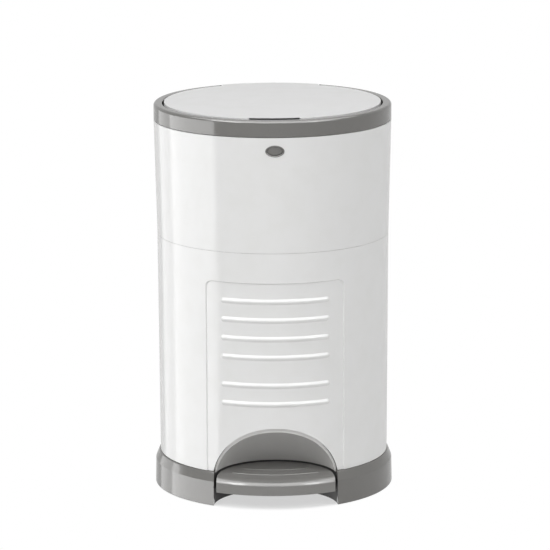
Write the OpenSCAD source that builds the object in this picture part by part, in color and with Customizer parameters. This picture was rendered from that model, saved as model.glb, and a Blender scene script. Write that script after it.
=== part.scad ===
// Pedal nappy bin: round white bin with a grey base, pedal and top collar.
// The pedal lifts a rod at the back, the rod turns a crank on the lid.
// Used nappies drop through two sprung flaps into a film liner, and the
// lower front half of the body is a door that swings open for emptying.
// Millimetres, front towards -Y, origin on the floor at the centre.

/* [Base] */
// Radius of the base at the floor
base_r = 150; // [140:1:165]
// Height of the base
base_h = 42.5; // [40:0.5:50]
// How far the top of the base steps in from its widest radius
base_step = 5.6; // [5.2:0.1:7]
// Height of the bevel round the top of the base
bevel_h = 11; // [7:0.5:16]
// Wall of the base moulding
base_wall = 3; // [2.2:0.1:4]
// Gap between the base and the floor, taken up by the feet
foot_stand = 1; // [0.6:0.1:2]
// Radius of a rubber foot
foot_r = 9; // [6:0.5:11]

/* [Body] */
// Radius of the door and rear shell just above the base
waist_r = 143.4; // [142:0.1:144]
// Radius of the body at the seam
seam_r = 144.8; // [144.4:0.1:146]
// Radius of the body under the collar
top_r = 148.1; // [146:0.1:149]
// Height of the seam over the door
seam_z = 322; // [310:1:330]
// Height of the top edge of the upper housing
housing_z = 465.2; // [458:0.1:472]
// Wall of the body shells
wall = 2.8; // [2:0.1:3.4]
// Gap between neighbouring outer shells
shell_gap = 0.6; // [0.4:0.1:1]

/* [Door] */
// Angle from the front to the hinged edge
hinge_edge = 105; // [102:1:112]
// Angle from the front to the free edge
free_edge = 89; // [80:1:90]
// Half width of the sunk panel
panel_half_w = 84.8; // [80:0.1:92]
// Height of the top of the sunk panel
panel_top_z = 284.5; // [276:0.5:292]
// Corner radius of the sunk panel
panel_corner = 8; // [4:1:14]
// Depth of the sunk panel
panel_depth = 1.6; // [1:0.1:2.4]
// Half width of a rib
rib_half_w = 64.2; // [50:0.1:74]
// Radius of a rib's section
rib_r = 3; // [2:0.1:4]
// How far a rib stands out of the panel
rib_out = 2; // [1:0.1:2.4]
// Height of the top rib
rib_top_z = 261.5; // [256:0.5:266]
// Spacing of the ribs inside a group
rib_pitch = 23.45; // [20:0.05:25]
// Spacing between the two groups of ribs
rib_group_gap = 35.2; // [30:0.1:38]
// Radius of a hinge knuckle
knuckle_r = 3.2; // [2.8:0.1:3.6]
// Radius of a door hinge pin
door_pin_r = 1.6; // [1.2:0.1:1.8]

/* [Toe recess] */
// Distance from the middle of the bin to the centre of the recess
recess_y = 135; // [130:1:140]
// Radius of the opening that the base leaves for the pedal
notch_r = 77.2; // [72:0.1:80]
// Height of the top of the arch
arch_top_z = 101.8; // [94:0.1:104]
// Height at which the arch is widest
arch_foot_z = 26; // [22:1:30]
// Widest radius of the arch
arch_r = 80; // [78:0.1:82]
// Wall of the recess at its foot
recess_wall = 2.5; // [2:0.1:3]
// Wall of the recess at its crown
recess_crown = 4.8; // [4:0.1:7]

/* [Pedal] */
// Radius of the pedal's back edge
pedal_r = 73.7; // [70:0.1:76]
// Height of the pedal's tread
tread_z = 39; // [38:0.1:40]
// Height of the pedal's lower edge
pedal_low_z = 18.6; // [17:0.1:22]
// Wall of the pedal moulding
pedal_wall = 2.6; // [2:0.1:3.2]
// Distance of the pedal pivot in front of the middle
pivot_y = 40; // [36:1:46]
// Height of the pedal pivot
pivot_z = 16; // [15:0.5:17]
// Radius of the pedal pivot pin
pivot_r = 3; // [2:0.1:3.4]
// Half width of the lever
lever_half_w = 12; // [9:0.5:13]
// Thickness of the lever's channel
lever_t = 2; // [1.4:0.1:2.4]
// Depth of the lever's channel
lever_h = 6; // [5:0.5:7]

/* [Push rod] */
// Distance of the rod behind the middle
rod_y = 127; // [126.6:0.1:127.4]
// Radius of the rod
rod_r = 4; // [3:0.1:4.2]
// Half width of the cap on top of the rod
cap_half_w = 4.5; // [4:0.1:5]
// Rest gap between the rod's cap and the crank roller
crank_gap = 0.8; // [0.6:0.1:1.2]

/* [Lid and collar] */
// Radius of the collar's opening
opening_r = 137.3; // [136.8:0.1:137.6]
// Height of the collar from its lower edge to its crest
collar_h = 20.2; // [19.8:0.1:22]
// Radius that rounds the collar's outer edge
collar_round = 3.5; // [3:0.5:5]
// Wall of the collar
collar_wall = 2.6; // [2:0.1:3]
// Gap between the lid and the collar
lid_gap = 2.4; // [1.8:0.1:3]
// Rise of the lid from its edge to its middle
lid_crown = 3.2; // [2:0.1:6]
// Wall of the lid
lid_wall = 2.6; // [2:0.1:3]
// Height of the lid's rim
rim_h = 9; // [7:0.5:9.5]
// Half width of the finger notch in the lid's edge
finger_half_w = 31; // [20:1:40]
// Depth of the finger notch
finger_deep = 5.6; // [4:0.1:7]
// Half width of the hinge cover at the back of the lid
tail_half_w = 61.5; // [60:0.5:64]
// Distance of the lid hinge behind the middle
hinge_y = 137.5; // [137.2:0.1:137.8]
// Height of the lid hinge over the top of the housing
hinge_up = 12.3; // [12:0.1:12.8]
// Radius of the lid hinge pin
hinge_r = 2.5; // [2:0.1:2.6]
// Radius of the hinge bosses
boss_r = 4.4; // [3.8:0.1:4.6]
// Distance from the hinge to the crank roller
crank_r = 13; // [12:0.1:13.4]

/* [Release button] */
// Height of the button
button_z = 449; // [446:0.5:451]
// Width of the button
button_w = 19; // [18.4:0.1:22]
// Height of the button's oval
button_h = 10.2; // [8:0.1:12]
// Width of the ring round the button
bezel_w = 2.4; // [1.6:0.1:3]
// Travel of the button
button_travel = 2.5; // [1.5:0.1:2.8]

/* [Refill and trap] */
// Inner radius of the drop tube
tube_r = 85; // [80:0.5:88]
// Height of the tray that carries the refill
tray_z = 401.5; // [396:0.5:406]
// Height of the drop tube over the tray
tube_up = 51; // [46:1:53]
// Outer radius of the refill cassette
cassette_r = 116; // [112:0.5:118]
// Inner radius of the refill cassette
cassette_in_r = 92; // [91:0.5:96]
// Height of the refill cassette
cassette_h = 42; // [30:1:44]
// Distance of a flap hinge from the middle
flap_x = 70.5; // [66:0.5:72]
// Thickness of a flap
flap_t = 2.2; // [1.6:0.1:3]
// Radius of a flap pin
flap_pin_r = 1.5; // [1.2:0.1:1.8]
// Curls of each flap spring
flap_curls = 6; // [4:1:7]

/* [Hidden] */
$fn = 96;

// Fits and small gaps
run = 0.05;
seat = 0.3;
clear = 0.5;
weld = 0.4;
far = 400;

// Colours of the mouldings
white = "whitesmoke";
grey = "dimgray";
steel = "silver";

// Base
base_mid_r = base_r - 0.7;
base_top_r = base_r - base_step;
deck_z = base_h - base_wall;
rim_r = 136;
foot_orbit = 126;
foot_turns = [40, 140, 220, 320];

// Body shells
door_low_z = base_h + weld;
door_top_z = seam_z - shell_gap / 2;
housing_low_z = seam_z + shell_gap / 2;
seam_ring_h = 2.8;
seam_ring_r = 124;
edge_gap_deg = 0.12;
door_axis_r = seam_r + 0.2;
door_axis = [-door_axis_r * sin(hinge_edge), -door_axis_r * cos(hinge_edge)];
knuckle_h = 20;
knuckle_zs = [85, 272];
screw_orbit = 133;
screw_turns = [125, 180 - 28, 235];
screw_r = 1.5;
screw_head_r = 3.2;

// Pedal and lever
lever_top_z = pivot_z + lever_h / 2;
pedal_boss_ys = [-122, -88];

// Push rod
rod_low_z = lever_top_z + seat;
roller_r = 3;
hinge_z = housing_z + hinge_up;
roller_y = hinge_y - crank_r * sin(45);
roller_z = hinge_z - crank_r * sin(45);
cap_top_z = roller_z - roller_r - crank_gap;
cap_h = 11;

// Collar and lid
collar_low_z = housing_z + shell_gap;
crest_z = collar_low_z + collar_h;
slot_half_w = tail_half_w + 1;
deck_top_z = collar_low_z + 3.7;
funnel_t = 2.6;
lid_r = opening_r - lid_gap;
lid_over = 1;
lid_edge_z = crest_z + lid_over;
lid_top_z = lid_edge_z + lid_crown;
crown_r = (lid_r * lid_r + lid_crown * lid_crown) / (2 * lid_crown);
rim_z = lid_edge_z - rim_h;
tail_z = crest_z;
block_top_z = lid_edge_z - lid_wall;
block_screw_x = 14;
block_screw_y = hinge_y - 7.5;
crank_x = 6;
crank_w = 3;
lug_x = 14;
lug_w = 4;
ear_x = 22;
ear_w = 5;
arm_x = 31;
arm_w = 5;
neck_back = 14;
seal_r = 110;
liner_r = 121;

// Latch
tongue_half_w = 6.2;
tongue_y = -139.5;
tongue_t = 2.5;
guide_back_y = -126;
button_t = 3.4;

// Trap
tube_wall = 2.6;
tube_rest = 1.2;
tray_t = 2.4;
tray_r = 128;
tray_rim_r = 119.5;
tube_low_z = tray_z - 9.5;
flap_top_z = tube_low_z - 0.8;
flap_pin_z = flap_top_z - 4.7;
flap_knuckle_r = 3;
flap_half_l = 41.5;
flap_ear_y = 42;
flap_ear_w = 4;
spring_half_l = 9;
spring_wire = 0.4;
spring_coil_r = 2;

// Outer radius of the body at a height
function body_r(z) = z <= seam_z
    ? waist_r + (seam_r - waist_r) * (z - base_h) / (seam_z - base_h)
    : seam_r + (top_r - seam_r) * (z - seam_z) / (housing_z - seam_z);

// Height of the lid's outer surface at a radius
function crown_z(r) = lid_top_z - crown_r + sqrt(crown_r * crown_r - r * r);

// Points of an arc about [x, y]
function arc(x, y, r, from, to, n = 8) =
    [for (i = [0:n]) [x + r * cos(from + (to - from) * i / n), y + r * sin(from + (to - from) * i / n)]];

// Points along an ellipse, from its widest radius up to a height
function dome(r, h, from_h, n = 14) =
    [for (i = [0:n])
        let (a = asin(from_h / h) + (90 - asin(from_h / h)) * i / n)
        [r * cos(a), h * sin(a)]];

// A solid that follows the body's outside, set in by an amount
module body_solid(z0, z1, inset = 0) {
    rotate_extrude($fn = 240)
        polygon([[0, z0], [body_r(z0) - inset, z0], [body_r(z1) - inset, z1], [0, z1]]);
}

// A section turned about Z between two angles counted from the front towards +X
module sweep(from, to) {
    rotate([0, 0, from - 90])
        rotate_extrude(angle = to - from) children();
}

// A point at a radius and an angle counted from the front
module at(r, turn) {
    rotate([0, 0, turn - 90]) translate([r, 0, 0]) children();
}

// A cylinder along X, centred on x = 0 unless given a start
module bar_x(y, z, r, x0, x1) {
    translate([x0, y, z]) rotate([0, 90, 0]) cylinder(r = r, h = x1 - x0);
}

// A cylinder along Y
module bar_y(x, z, r, y0, y1) {
    translate([x, y0, z]) rotate([-90, 0, 0]) cylinder(r = r, h = y1 - y0);
}

// A plate across X, drawn as (y, z) from the lid hinge's axis
module hinge_plate(x0, x1) {
    translate([x0, hinge_y, hinge_z]) rotate([90, 0, 90]) linear_extrude(x1 - x0) children();
}

// A block between two corners
module block(a, b) {
    translate(a) cube(b - a);
}

// A mirrored pair, left and right
module pair() {
    children();
    mirror([1, 0, 0]) children();
}

// A screw with a round head, head up, its seat at the origin
module screw(length) {
    translate([0, 0, -length]) cylinder(r = screw_r - run, h = length, $fn = 32);
    rotate_extrude($fn = 32)
        polygon([[0, 0], [screw_head_r, 0], [screw_head_r, 1], [screw_head_r - 1, 2], [0, 2.4]]);
}

// ---- Coils: one unbroken tube along a helix about Y, with straight ends ----
curl_rings = 8;
tube_sides = 6;

function helix_frame(i, curls, coil_r, pitch, turn0) =
    let (a = turn0 + 360 * i / curl_rings)
    [[coil_r * cos(a), pitch * i / curl_rings, coil_r * sin(a)], [cos(a), 0, sin(a)], [-sin(a), 0, cos(a)]];

function coil_frames(curls, coil_r, pitch, turn0, leg0, leg1) =
    let (n = curls * curl_rings,
         body = [for (i = [0:n]) helix_frame(i, curls, coil_r, pitch, turn0)],
         first = body[0],
         last = body[n])
    concat(
        leg0 > 0 ? [[first[0] - leg0 * first[2], first[1], first[2]]] : [],
        body,
        leg1 > 0 ? [[last[0] + leg1 * last[2], last[1], last[2]]] : []);

function least_gap(curls, coil_r, pitch, wire) =
    let (n = curls * curl_rings,
         p = [for (i = [0:n]) helix_frame(i, curls, coil_r, pitch, 0)[0]])
    min([for (i = [0:n], j = [i + curl_rings / 2:n]) norm(p[i] - p[j])]) - 2 * wire;

module coil(curls, coil_r, pitch, wire, turn0 = 0, leg0 = 0, leg1 = 0) {
    frames = coil_frames(curls, coil_r, pitch, turn0, leg0, leg1);
    rings = len(frames);
    points = [for (f = frames, k = [0:tube_sides - 1])
        let (b = 360 * k / tube_sides)
        f[0] + wire * cos(b) * f[1] + wire * sin(b) * [0, 1, 0]];
    sides = [for (i = [0:rings - 2], k = [0:tube_sides - 1])
        let (a = i * tube_sides + k,
             b = i * tube_sides + (k + 1) % tube_sides)
        each [[a, b, b + tube_sides], [a, b + tube_sides, a + tube_sides]]];
    cap0 = [for (k = [1:tube_sides - 2]) [0, k + 1, k]];
    top = (rings - 1) * tube_sides;
    cap1 = [for (k = [1:tube_sides - 2]) [top, top + k, top + k + 1]];
    polyhedron(points, concat(sides, cap0, cap1));
}

// ---------------------------------------------------------------- base

module base_outline() {
    polygon([
        [0, foot_stand], [base_r, foot_stand], [base_mid_r, base_h - bevel_h - 1],
        [base_mid_r - 0.9, base_h - bevel_h + 1.2], [base_top_r + 0.7, base_h - 1], [base_top_r, base_h],
        [0, base_h]]);
}

// Space that the pedal and its recess take out of the base
module notch(grow = 0) {
    translate([0, -recess_y, -1]) cylinder(r = notch_r + grow, h = base_h + 12, $fn = 128);
}

module base() {
    color(grey)
    difference() {
        union() {
            difference() {
                rotate_extrude($fn = 180) base_outline();
                translate([0, 0, -1]) cylinder(r = base_top_r - base_wall, h = deck_z + 1, $fn = 180);
            }
            // Wall round the pedal's opening
            intersection() {
                difference() {
                    notch(base_wall);
                    notch();
                }
                translate([0, 0, foot_stand]) cylinder(r = base_top_r - 0.4, h = base_h - foot_stand - 0.2);
            }
            // Ring that keeps the door's lower edge in line
            sweep(-86, 84) translate([rim_r - 2.4, base_h - weld]) square([2.4, 6 + weld]);
            // Ribs under the deck
            for (turn = [75, 105, 135, 225, 255, 285])
                rotate([0, 0, turn - 90])
                    block([64, -1.2, 22], [base_top_r - 2, 1.2, base_h - 1]);
            // Sockets of the feet
            for (turn = foot_turns)
                at(foot_orbit, turn) translate([0, 0, 5]) cylinder(r = foot_r + 2, h = base_h - 6);
            // Ears of the pedal pivot
            pair() {
                block([lever_half_w + 3, -pivot_y - 7, pivot_z], [lever_half_w + 8, -pivot_y + 7, base_h - 1]);
                bar_x(-pivot_y, pivot_z, 7, lever_half_w + 3, lever_half_w + 8);
            }
        }
        notch();
        // Slot for the lever
        block([-lever_half_w - 2, -pivot_y - 30, pivot_z - 12], [lever_half_w + 2, -pivot_y - 8, pivot_z + 7]);
        // Sockets and screw holes
        for (turn = foot_turns)
            at(foot_orbit, turn) translate([0, 0, -1]) cylinder(r = foot_r + run, h = 9 + 1);
        for (turn = screw_turns)
            at(screw_orbit, turn) cylinder(r = screw_r + 0.4, h = far, $fn = 32);
        bar_x(-pivot_y, pivot_z, pivot_r + run, -lever_half_w - 9, lever_half_w + 9);
        // Way for the push rod
        translate([0, rod_y, 0]) cylinder(r = 8.5, h = far, $fn = 48);
    }
}

module rubber_feet() {
    color("black")
    for (turn = foot_turns)
        at(foot_orbit, turn)
            rotate_extrude($fn = 48) polygon([[0, 0], [foot_r - 1.4, 0], [foot_r, 1], [foot_r, 9], [0, 9]]);
}

module base_screws() {
    color(steel)
    for (turn = screw_turns)
        at(screw_orbit, turn) translate([0, 0, deck_z]) mirror([0, 0, 1]) screw(14);
}

// ---------------------------------------------------------------- toe recess

// Dome whose height and radius follow an ellipse, standing on the recess centre
module recess_dome(r, top_z, low_z) {
    translate([0, -recess_y, arch_foot_z])
        rotate_extrude($fn = 128)
            polygon(concat([[0, low_z - arch_foot_z]], dome(r, top_z - arch_foot_z, low_z - arch_foot_z)));
}

recess_low_z = tread_z + 1.6;
recess_front = wall + panel_depth + seat;

module toe_recess() {
    color("gray")
    difference() {
        union() {
            intersection() {
                recess_dome(arch_r, arch_top_z, recess_low_z);
                body_solid(base_h - 5, arch_top_z + 5, recess_front);
                translate([0, -recess_y, 0]) cylinder(r = notch_r - run, h = far, $fn = 128);
            }
            // Flange that lies on the deck
            intersection() {
                translate([0, -recess_y, base_h]) cylinder(r = notch_r + 5, h = 2.4, $fn = 128);
                translate([0, 0, base_h]) cylinder(r = rim_r - 2.4 - clear, h = far);
            }
        }
        recess_dome(arch_r - recess_wall, arch_top_z - recess_crown, recess_low_z - 1);
    }
}

// ---------------------------------------------------------------- rear shell

module shell_section(z0, z1, inset = 0, t = wall) {
    polygon([
        [body_r(z0) - inset - t, z0], [body_r(z0) - inset, z0],
        [body_r(z1) - inset, z1], [body_r(z1) - inset - t, z1]]);
}

// Knuckles of one side of the door hinge: ends are fixed, middles are on the door
module knuckles(on_door, r, grow = 0) {
    for (z = knuckle_zs)
        translate([door_axis[0], door_axis[1], 0])
            if (on_door) {
                translate([0, 0, z - knuckle_h / 2 + seat - grow])
                    cylinder(r = r, h = knuckle_h - 2 * seat + 2 * grow, $fn = 48);
            } else {
                for (z0 = [z - knuckle_h, z + knuckle_h / 2])
                    translate([0, 0, z0 - grow]) cylinder(r = r, h = knuckle_h / 2 + 2 * grow, $fn = 48);
            }
}

module rear_shell() {
    color(white)
    difference() {
        union() {
            sweep(free_edge + edge_gap_deg, 360 - hinge_edge - edge_gap_deg)
                shell_section(door_low_z, door_top_z);
            knuckles(false, knuckle_r);
            // Screw posts at the foot and under the seam
            intersection() {
                for (turn = screw_turns)
                    at(screw_orbit, turn) {
                        translate([0, 0, door_low_z - weld]) cylinder(r = 5, h = 24);
                        translate([0, 0, door_top_z - 24]) cylinder(r = 5, h = 24);
                        block([0, -1.2, door_low_z - weld], [11, 1.2, door_low_z + 24]);
                        block([0, -1.2, door_top_z - 24], [11, 1.2, door_top_z]);
                    }
                body_solid(door_low_z - weld, door_top_z, 1);
            }
        }
        knuckles(true, knuckle_r + clear, seat);
        translate([door_axis[0], door_axis[1], 0]) cylinder(r = door_pin_r + run, h = far, $fn = 48);
        for (turn = screw_turns)
            at(screw_orbit, turn) cylinder(r = screw_r, h = far, $fn = 32);
    }
}

module door_hinge_pins() {
    color(steel)
    for (z = knuckle_zs)
        translate([door_axis[0], door_axis[1], z - knuckle_h])
            cylinder(r = door_pin_r, h = 2 * knuckle_h, $fn = 48);
}

// ---------------------------------------------------------------- front door

// Outline of the sunk panel, seen from the front
module panel_outline(grow = 0) {
    w = panel_half_w + grow;
    top = panel_top_z + grow;
    c = panel_corner + grow;
    translate([-w, 0]) square([2 * w, top - c]);
    translate([-w + c, 0]) square([2 * (w - c), top]);
    for (side = [-1, 1])
        translate([side * (w - c), top - c]) circle(r = c, $fn = 48);
}

module panel_prism(grow = 0) {
    translate([0, -far / 4, 0]) rotate([90, 0, 0]) linear_extrude(far / 4) panel_outline(grow);
}

// Section of a rib: along its height in x, out of the panel in y
module rib_section(r, out) {
    bend = (r * r + out * out) / (2 * out);
    intersection() {
        translate([0, out - bend]) circle(r = bend, $fn = 64);
        translate([-bend, -1]) square([2 * bend, out + 1]);
    }
}

// A rounded rib that follows the panel round the body
module rib(z) {
    half = asin(rib_half_w / body_r(z));
    skin_r = body_r(z) - panel_depth;
    sweep(-half, half) translate([skin_r, z]) rotate(-90) rib_section(rib_r, rib_out);
    // Rounded ends
    for (turn = [-half, half])
        at(skin_r, turn) translate([0, 0, z]) rotate([0, 90, 0])
            rotate_extrude($fn = 48)
                intersection() {
                    rib_section(rib_r - 0.15, rib_out - 0.1);
                    translate([0, -2]) square([2 * rib_r, rib_out + 2]);
                }
}

rib_zs = concat([for (i = [0:3]) rib_top_z - i * rib_pitch],
    [for (i = [0:1]) rib_top_z - 3 * rib_pitch - rib_group_gap - i * rib_pitch]);

module front_door() {
    color(white)
    difference() {
        union() {
            difference() {
                sweep(-hinge_edge + edge_gap_deg, free_edge - edge_gap_deg)
                    shell_section(door_low_z, door_top_z);
                panel_prism();
            }
            // Panel, set in, with a margin that joins it to the shell
            intersection() {
                sweep(-hinge_edge + edge_gap_deg, free_edge - edge_gap_deg)
                    shell_section(door_low_z, door_top_z, panel_depth);
                panel_prism(wall);
            }
            for (z = rib_zs) rib(z);
            // Flange under the seam
            sweep(-hinge_edge + 6, free_edge - 2)
                polygon([
                    [rim_r + 1, door_top_z - wall], [body_r(door_top_z) - 1, door_top_z - wall],
                    [body_r(door_top_z) - 1, door_top_z], [rim_r + 1, door_top_z]]);
            knuckles(true, knuckle_r);
        }
        recess_dome(arch_r + clear, arch_top_z + clear, arch_foot_z);
        knuckles(false, knuckle_r + clear, seat);
        translate([door_axis[0], door_axis[1], 0]) cylinder(r = door_pin_r + run, h = far, $fn = 48);
    }
}

catch_z = 185;
catch_x = 133;

module door_catch() {
    color(steel)
    difference() {
        union() {
            intersection() {
                block([catch_x, -16, catch_z - 9], [far, -6, catch_z + 9]);
                body_solid(door_low_z, door_top_z, wall + run);
            }
            block([catch_x, -7, catch_z - 6], [catch_x + 1.6, 6, catch_z + 6]);
            translate([catch_x + 1.2, 3.6, catch_z - 6]) cylinder(r = 1.2, h = 12, $fn = 32);
        }
        block([catch_x + 1.6, -13, catch_z - 6], [catch_x + 5, 0, catch_z + 6]);
    }
}

module catch_keeper() {
    color(grey)
    intersection() {
        union() {
            block([catch_x + 3.4, 1.4, catch_z - 8], [far, 10, catch_z + 8]);
            translate([catch_x + 3.6, 2.4, catch_z - 8]) cylinder(r = 0.9, h = 16, $fn = 32);
        }
        body_solid(door_low_z, door_top_z, wall + run);
    }
}

// ---------------------------------------------------------------- upper housing

module oval_y(w, h, z, y0, y1) {
    translate([0, y0, z])
        rotate([-90, 0, 0])
            linear_extrude(y1 - y0)
                polygon([for (a = [0:6:354]) [w / 2 * cos(a), h / 2 * sin(a)]]);
}

module rod_way(half_w, z0, z1) {
    block([-half_w, rod_y - 9, z0], [half_w, far, z1]);
}

module upper_housing() {
    tray_ring_z = tray_z - 3;
    color(white)
    difference() {
        union() {
            rotate_extrude($fn = 180) shell_section(housing_low_z, housing_z);
            difference() {
                union() {
                    // Ring over the seam
                    rotate_extrude($fn = 180)
                        polygon([
                            [seam_ring_r, housing_low_z], [body_r(housing_low_z) - 1, housing_low_z],
                            [body_r(housing_low_z) - 1, housing_low_z + seam_ring_h],
                            [seam_ring_r, housing_low_z + seam_ring_h]]);
                    // Ring that carries the tray
                    rotate_extrude($fn = 180)
                        polygon([
                            [122, tray_ring_z], [body_r(tray_ring_z) - 1, tray_ring_z - 8],
                            [body_r(tray_ring_z) - 1, tray_ring_z + 3], [122, tray_ring_z + 3]]);
                }
                rod_way(9.5, housing_low_z - 1, housing_z);
            }
            // Hinge ears: swan necks that reach under the lid's cover from gussets inside
            pair() {
                intersection() {
                    block([ear_x, hinge_y - neck_back, housing_z - 30], [ear_x + ear_w, far, housing_z - 3]);
                    body_solid(housing_low_z, housing_z, 1);
                }
                hinge_plate(ear_x, ear_x + ear_w)
                    polygon([
                        [-2, 1], [-13, -0.5], [-neck_back, -hinge_up - 5], [-9.4, -hinge_up - 5],
                        [-9.6, -8.6], [-6.2, -5], [-2, -3.6]]);
                bar_x(hinge_y, hinge_z, boss_r, ear_x, ear_x + ear_w);
            }
        }
        bar_x(hinge_y, hinge_z, hinge_r + run, -far / 4, far / 4);
        oval_y(button_w + 2 * bezel_w + 0.1, button_h + 2 * bezel_w + 0.1, button_z, -far / 2, -far / 4);
        for (turn = screw_turns)
            at(screw_orbit, turn) translate([0, 0, housing_low_z - 1]) cylinder(r = screw_r + 0.4, h = 6, $fn = 32);
    }
}

module housing_screws() {
    color(steel)
    for (turn = screw_turns)
        at(screw_orbit, turn) translate([0, 0, housing_low_z + seam_ring_h]) screw(16);
}

// ---------------------------------------------------------------- refill and trap

module refill_tray() {
    top = tray_z + tray_t;
    color(white)
    difference() {
        // Flat ring with a low rim that centres the cassette
        rotate_extrude($fn = 180)
            polygon([
                [tube_r + tube_wall + run, tray_z], [tray_r, tray_z], [tray_r, top], [tray_rim_r + 2, top],
                [tray_rim_r + 2, top + 5], [tray_rim_r, top + 5], [tray_rim_r, top], [tube_r + tube_wall + run, top]]);
        rod_way(9.5, tray_z - 5, top + 6);
    }
}

// Tube that hangs in the tray and carries the flaps under it
module drop_tube() {
    tube_top_z = tray_z + tube_up;
    rest_z = tray_z + tray_t;
    outer = tube_r + tube_wall;
    color(white)
    difference() {
        union() {
            rotate_extrude($fn = 180)
                polygon(concat(
                    [[tube_r, tube_low_z], [outer, tube_low_z], [outer, rest_z], [outer + tube_rest, rest_z],
                        [outer + tube_rest, rest_z + 2], [outer, rest_z + 2 + tube_rest]],
                    arc(tube_r + tube_wall / 2, tube_top_z, 2, -50, 230)));
            // Sills that close the tube beside the flaps
            pair()
                intersection() {
                    translate([0, 0, tube_low_z]) cylinder(r = tube_r + 1, h = 2.2);
                    block([flap_x - 2, -far, tube_low_z], [far, far, tube_low_z + 3]);
                }
            // Ears for the flap pins
            pair()
                for (y = [-flap_ear_y - flap_ear_w, flap_ear_y]) {
                    block([flap_x - 3.2, y, flap_pin_z], [flap_x + 3.2, y + flap_ear_w, tube_low_z + 1]);
                    bar_y(flap_x, flap_pin_z, 3.2, y, y + flap_ear_w);
                }
        }
        pair() bar_y(flap_x, flap_pin_z, flap_pin_r + run, -far / 4, far / 4);
    }
}

// The right flap; the left one mirrors it
module flap() {
    inner = 0.8;
    difference() {
        union() {
            intersection() {
                translate([0, 0, flap_top_z - flap_t]) cylinder(r = tube_r - 1.5, h = flap_t);
                block([inner, -far, flap_top_z - flap_t], [flap_x - 4.2, far, flap_top_z]);
            }
            // Web down to the knuckle, and the knuckle in two lengths
            for (y = [-flap_half_l, spring_half_l + 1]) {
                block([flap_x - 8, y, flap_top_z - 3.6], [flap_x - 1.4, y + flap_half_l - spring_half_l - 1, flap_top_z - 1]);
                block([flap_x - 3, y, flap_pin_z], [flap_x - 1.4, y + flap_half_l - spring_half_l - 1, flap_top_z - 1]);
                bar_y(flap_x, flap_pin_z, flap_knuckle_r, y, y + flap_half_l - spring_half_l - 1);
            }
            // Stiffening ribs under the flap
            for (y = [-44, -22, 0, 22, 44])
                block([inner + 3, y - 0.8, flap_top_z - flap_t - 2.6],
                    [min(flap_x - 9, sqrt(pow(tube_r - 3, 2) - y * y)), y + 0.8, flap_top_z - 1]);
        }
        bar_y(flap_x, flap_pin_z, flap_pin_r + run, -far / 4, far / 4);
    }
}

module trap_flap_right() {
    color(white) flap();
}

module trap_flap_left() {
    color(white) mirror([1, 0, 0]) flap();
}

module flap_pins() {
    color(steel)
    pair() bar_y(flap_x, flap_pin_z, flap_pin_r, -flap_ear_y - flap_ear_w, flap_ear_y + flap_ear_w);
}

flap_pitch = (2 * spring_half_l - 2) / flap_curls;

module flap_springs() {
    color(steel)
    pair()
        translate([flap_x, -flap_pitch * flap_curls / 2, flap_pin_z])
            coil(flap_curls, spring_coil_r, flap_pitch, spring_wire, 90, 4, 9);
    echo(flap_spring_least_gap = least_gap(flap_curls, spring_coil_r, flap_pitch, spring_wire));
}

module refill_cassette() {
    z = tray_z + tray_t;
    t = 1.8;
    color("lightgray")
    rotate_extrude($fn = 180)
        polygon([
            [cassette_in_r, z], [cassette_r, z], [cassette_r, z + cassette_h - 2], [cassette_r - t, z + cassette_h - 2],
            [cassette_r - t, z + t], [cassette_in_r + t, z + t], [cassette_in_r + t, z + cassette_h],
            [cassette_in_r, z + cassette_h]]);
}

// The film lies in the cassette as a stack of folds
module film_pack() {
    z = tray_z + tray_t + 2.2;
    folds = 9;
    fold_h = (cassette_h - 8) / folds;
    inner = cassette_in_r + 2.4;
    outer = cassette_r - 2.4;
    color("lightblue")
    rotate_extrude($fn = 96)
        polygon(concat(
            [for (i = [0:folds - 1]) each [[outer - 1.4, z + i * fold_h], [outer, z + (i + 0.5) * fold_h]]],
            [[outer - 1.4, z + folds * fold_h], [inner + 1.4, z + folds * fold_h]],
            [for (i = [folds - 1:-1:0]) each [[inner, z + (i + 0.5) * fold_h], [inner + 1.4, z + i * fold_h]]]));
}

module cassette_cover() {
    z = tray_z + tray_t + cassette_h - 2;
    color("lightgray")
    rotate_extrude($fn = 180)
        polygon([
            [cassette_in_r + 6, z], [cassette_r, z], [cassette_r, z + 1], [cassette_r - 1, z + 2],
            [cassette_in_r + 7, z + 2], [cassette_in_r + 6, z + 1]]);
}

// ---------------------------------------------------------------- cutter

cutter_y = -122;
cutter_top_z = housing_low_z;

module film_cutter() {
    color(grey)
    difference() {
        union() {
            block([-32, cutter_y - 5, cutter_top_z - 18], [32, cutter_y + 5, cutter_top_z]);
            pair() bar_x(cutter_y, cutter_top_z - 18, 5, 26, 32);
        }
        // Slot that the film is drawn through
        block([-26, cutter_y - 1, cutter_top_z - 40], [40, cutter_y + 1, cutter_top_z - 9]);
        block([-26, cutter_y - 6, cutter_top_z - 40], [26, cutter_y + 6, cutter_top_z - 14]);
    }
}

module cutter_blade() {
    color(steel)
    translate([0, cutter_y + 0.2, cutter_top_z - 9])
        rotate([90, 0, 0])
            linear_extrude(0.4) polygon([[-20, 0], [20, 0], [20, -2], [8, -5], [-20, -5]]);
}

// ---------------------------------------------------------------- collar

function collar_outline() =
    let (round_r = top_r - collar_round, round_z = crest_z - collar_round, edge = 1.6)
    concat(
        [[top_r, collar_low_z]],
        arc(round_r, round_z, collar_round, 0, 90, 10),
        arc(opening_r + edge, crest_z - edge, edge, 90, 180, 5),
        [[opening_r, deck_top_z]]);

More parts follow.
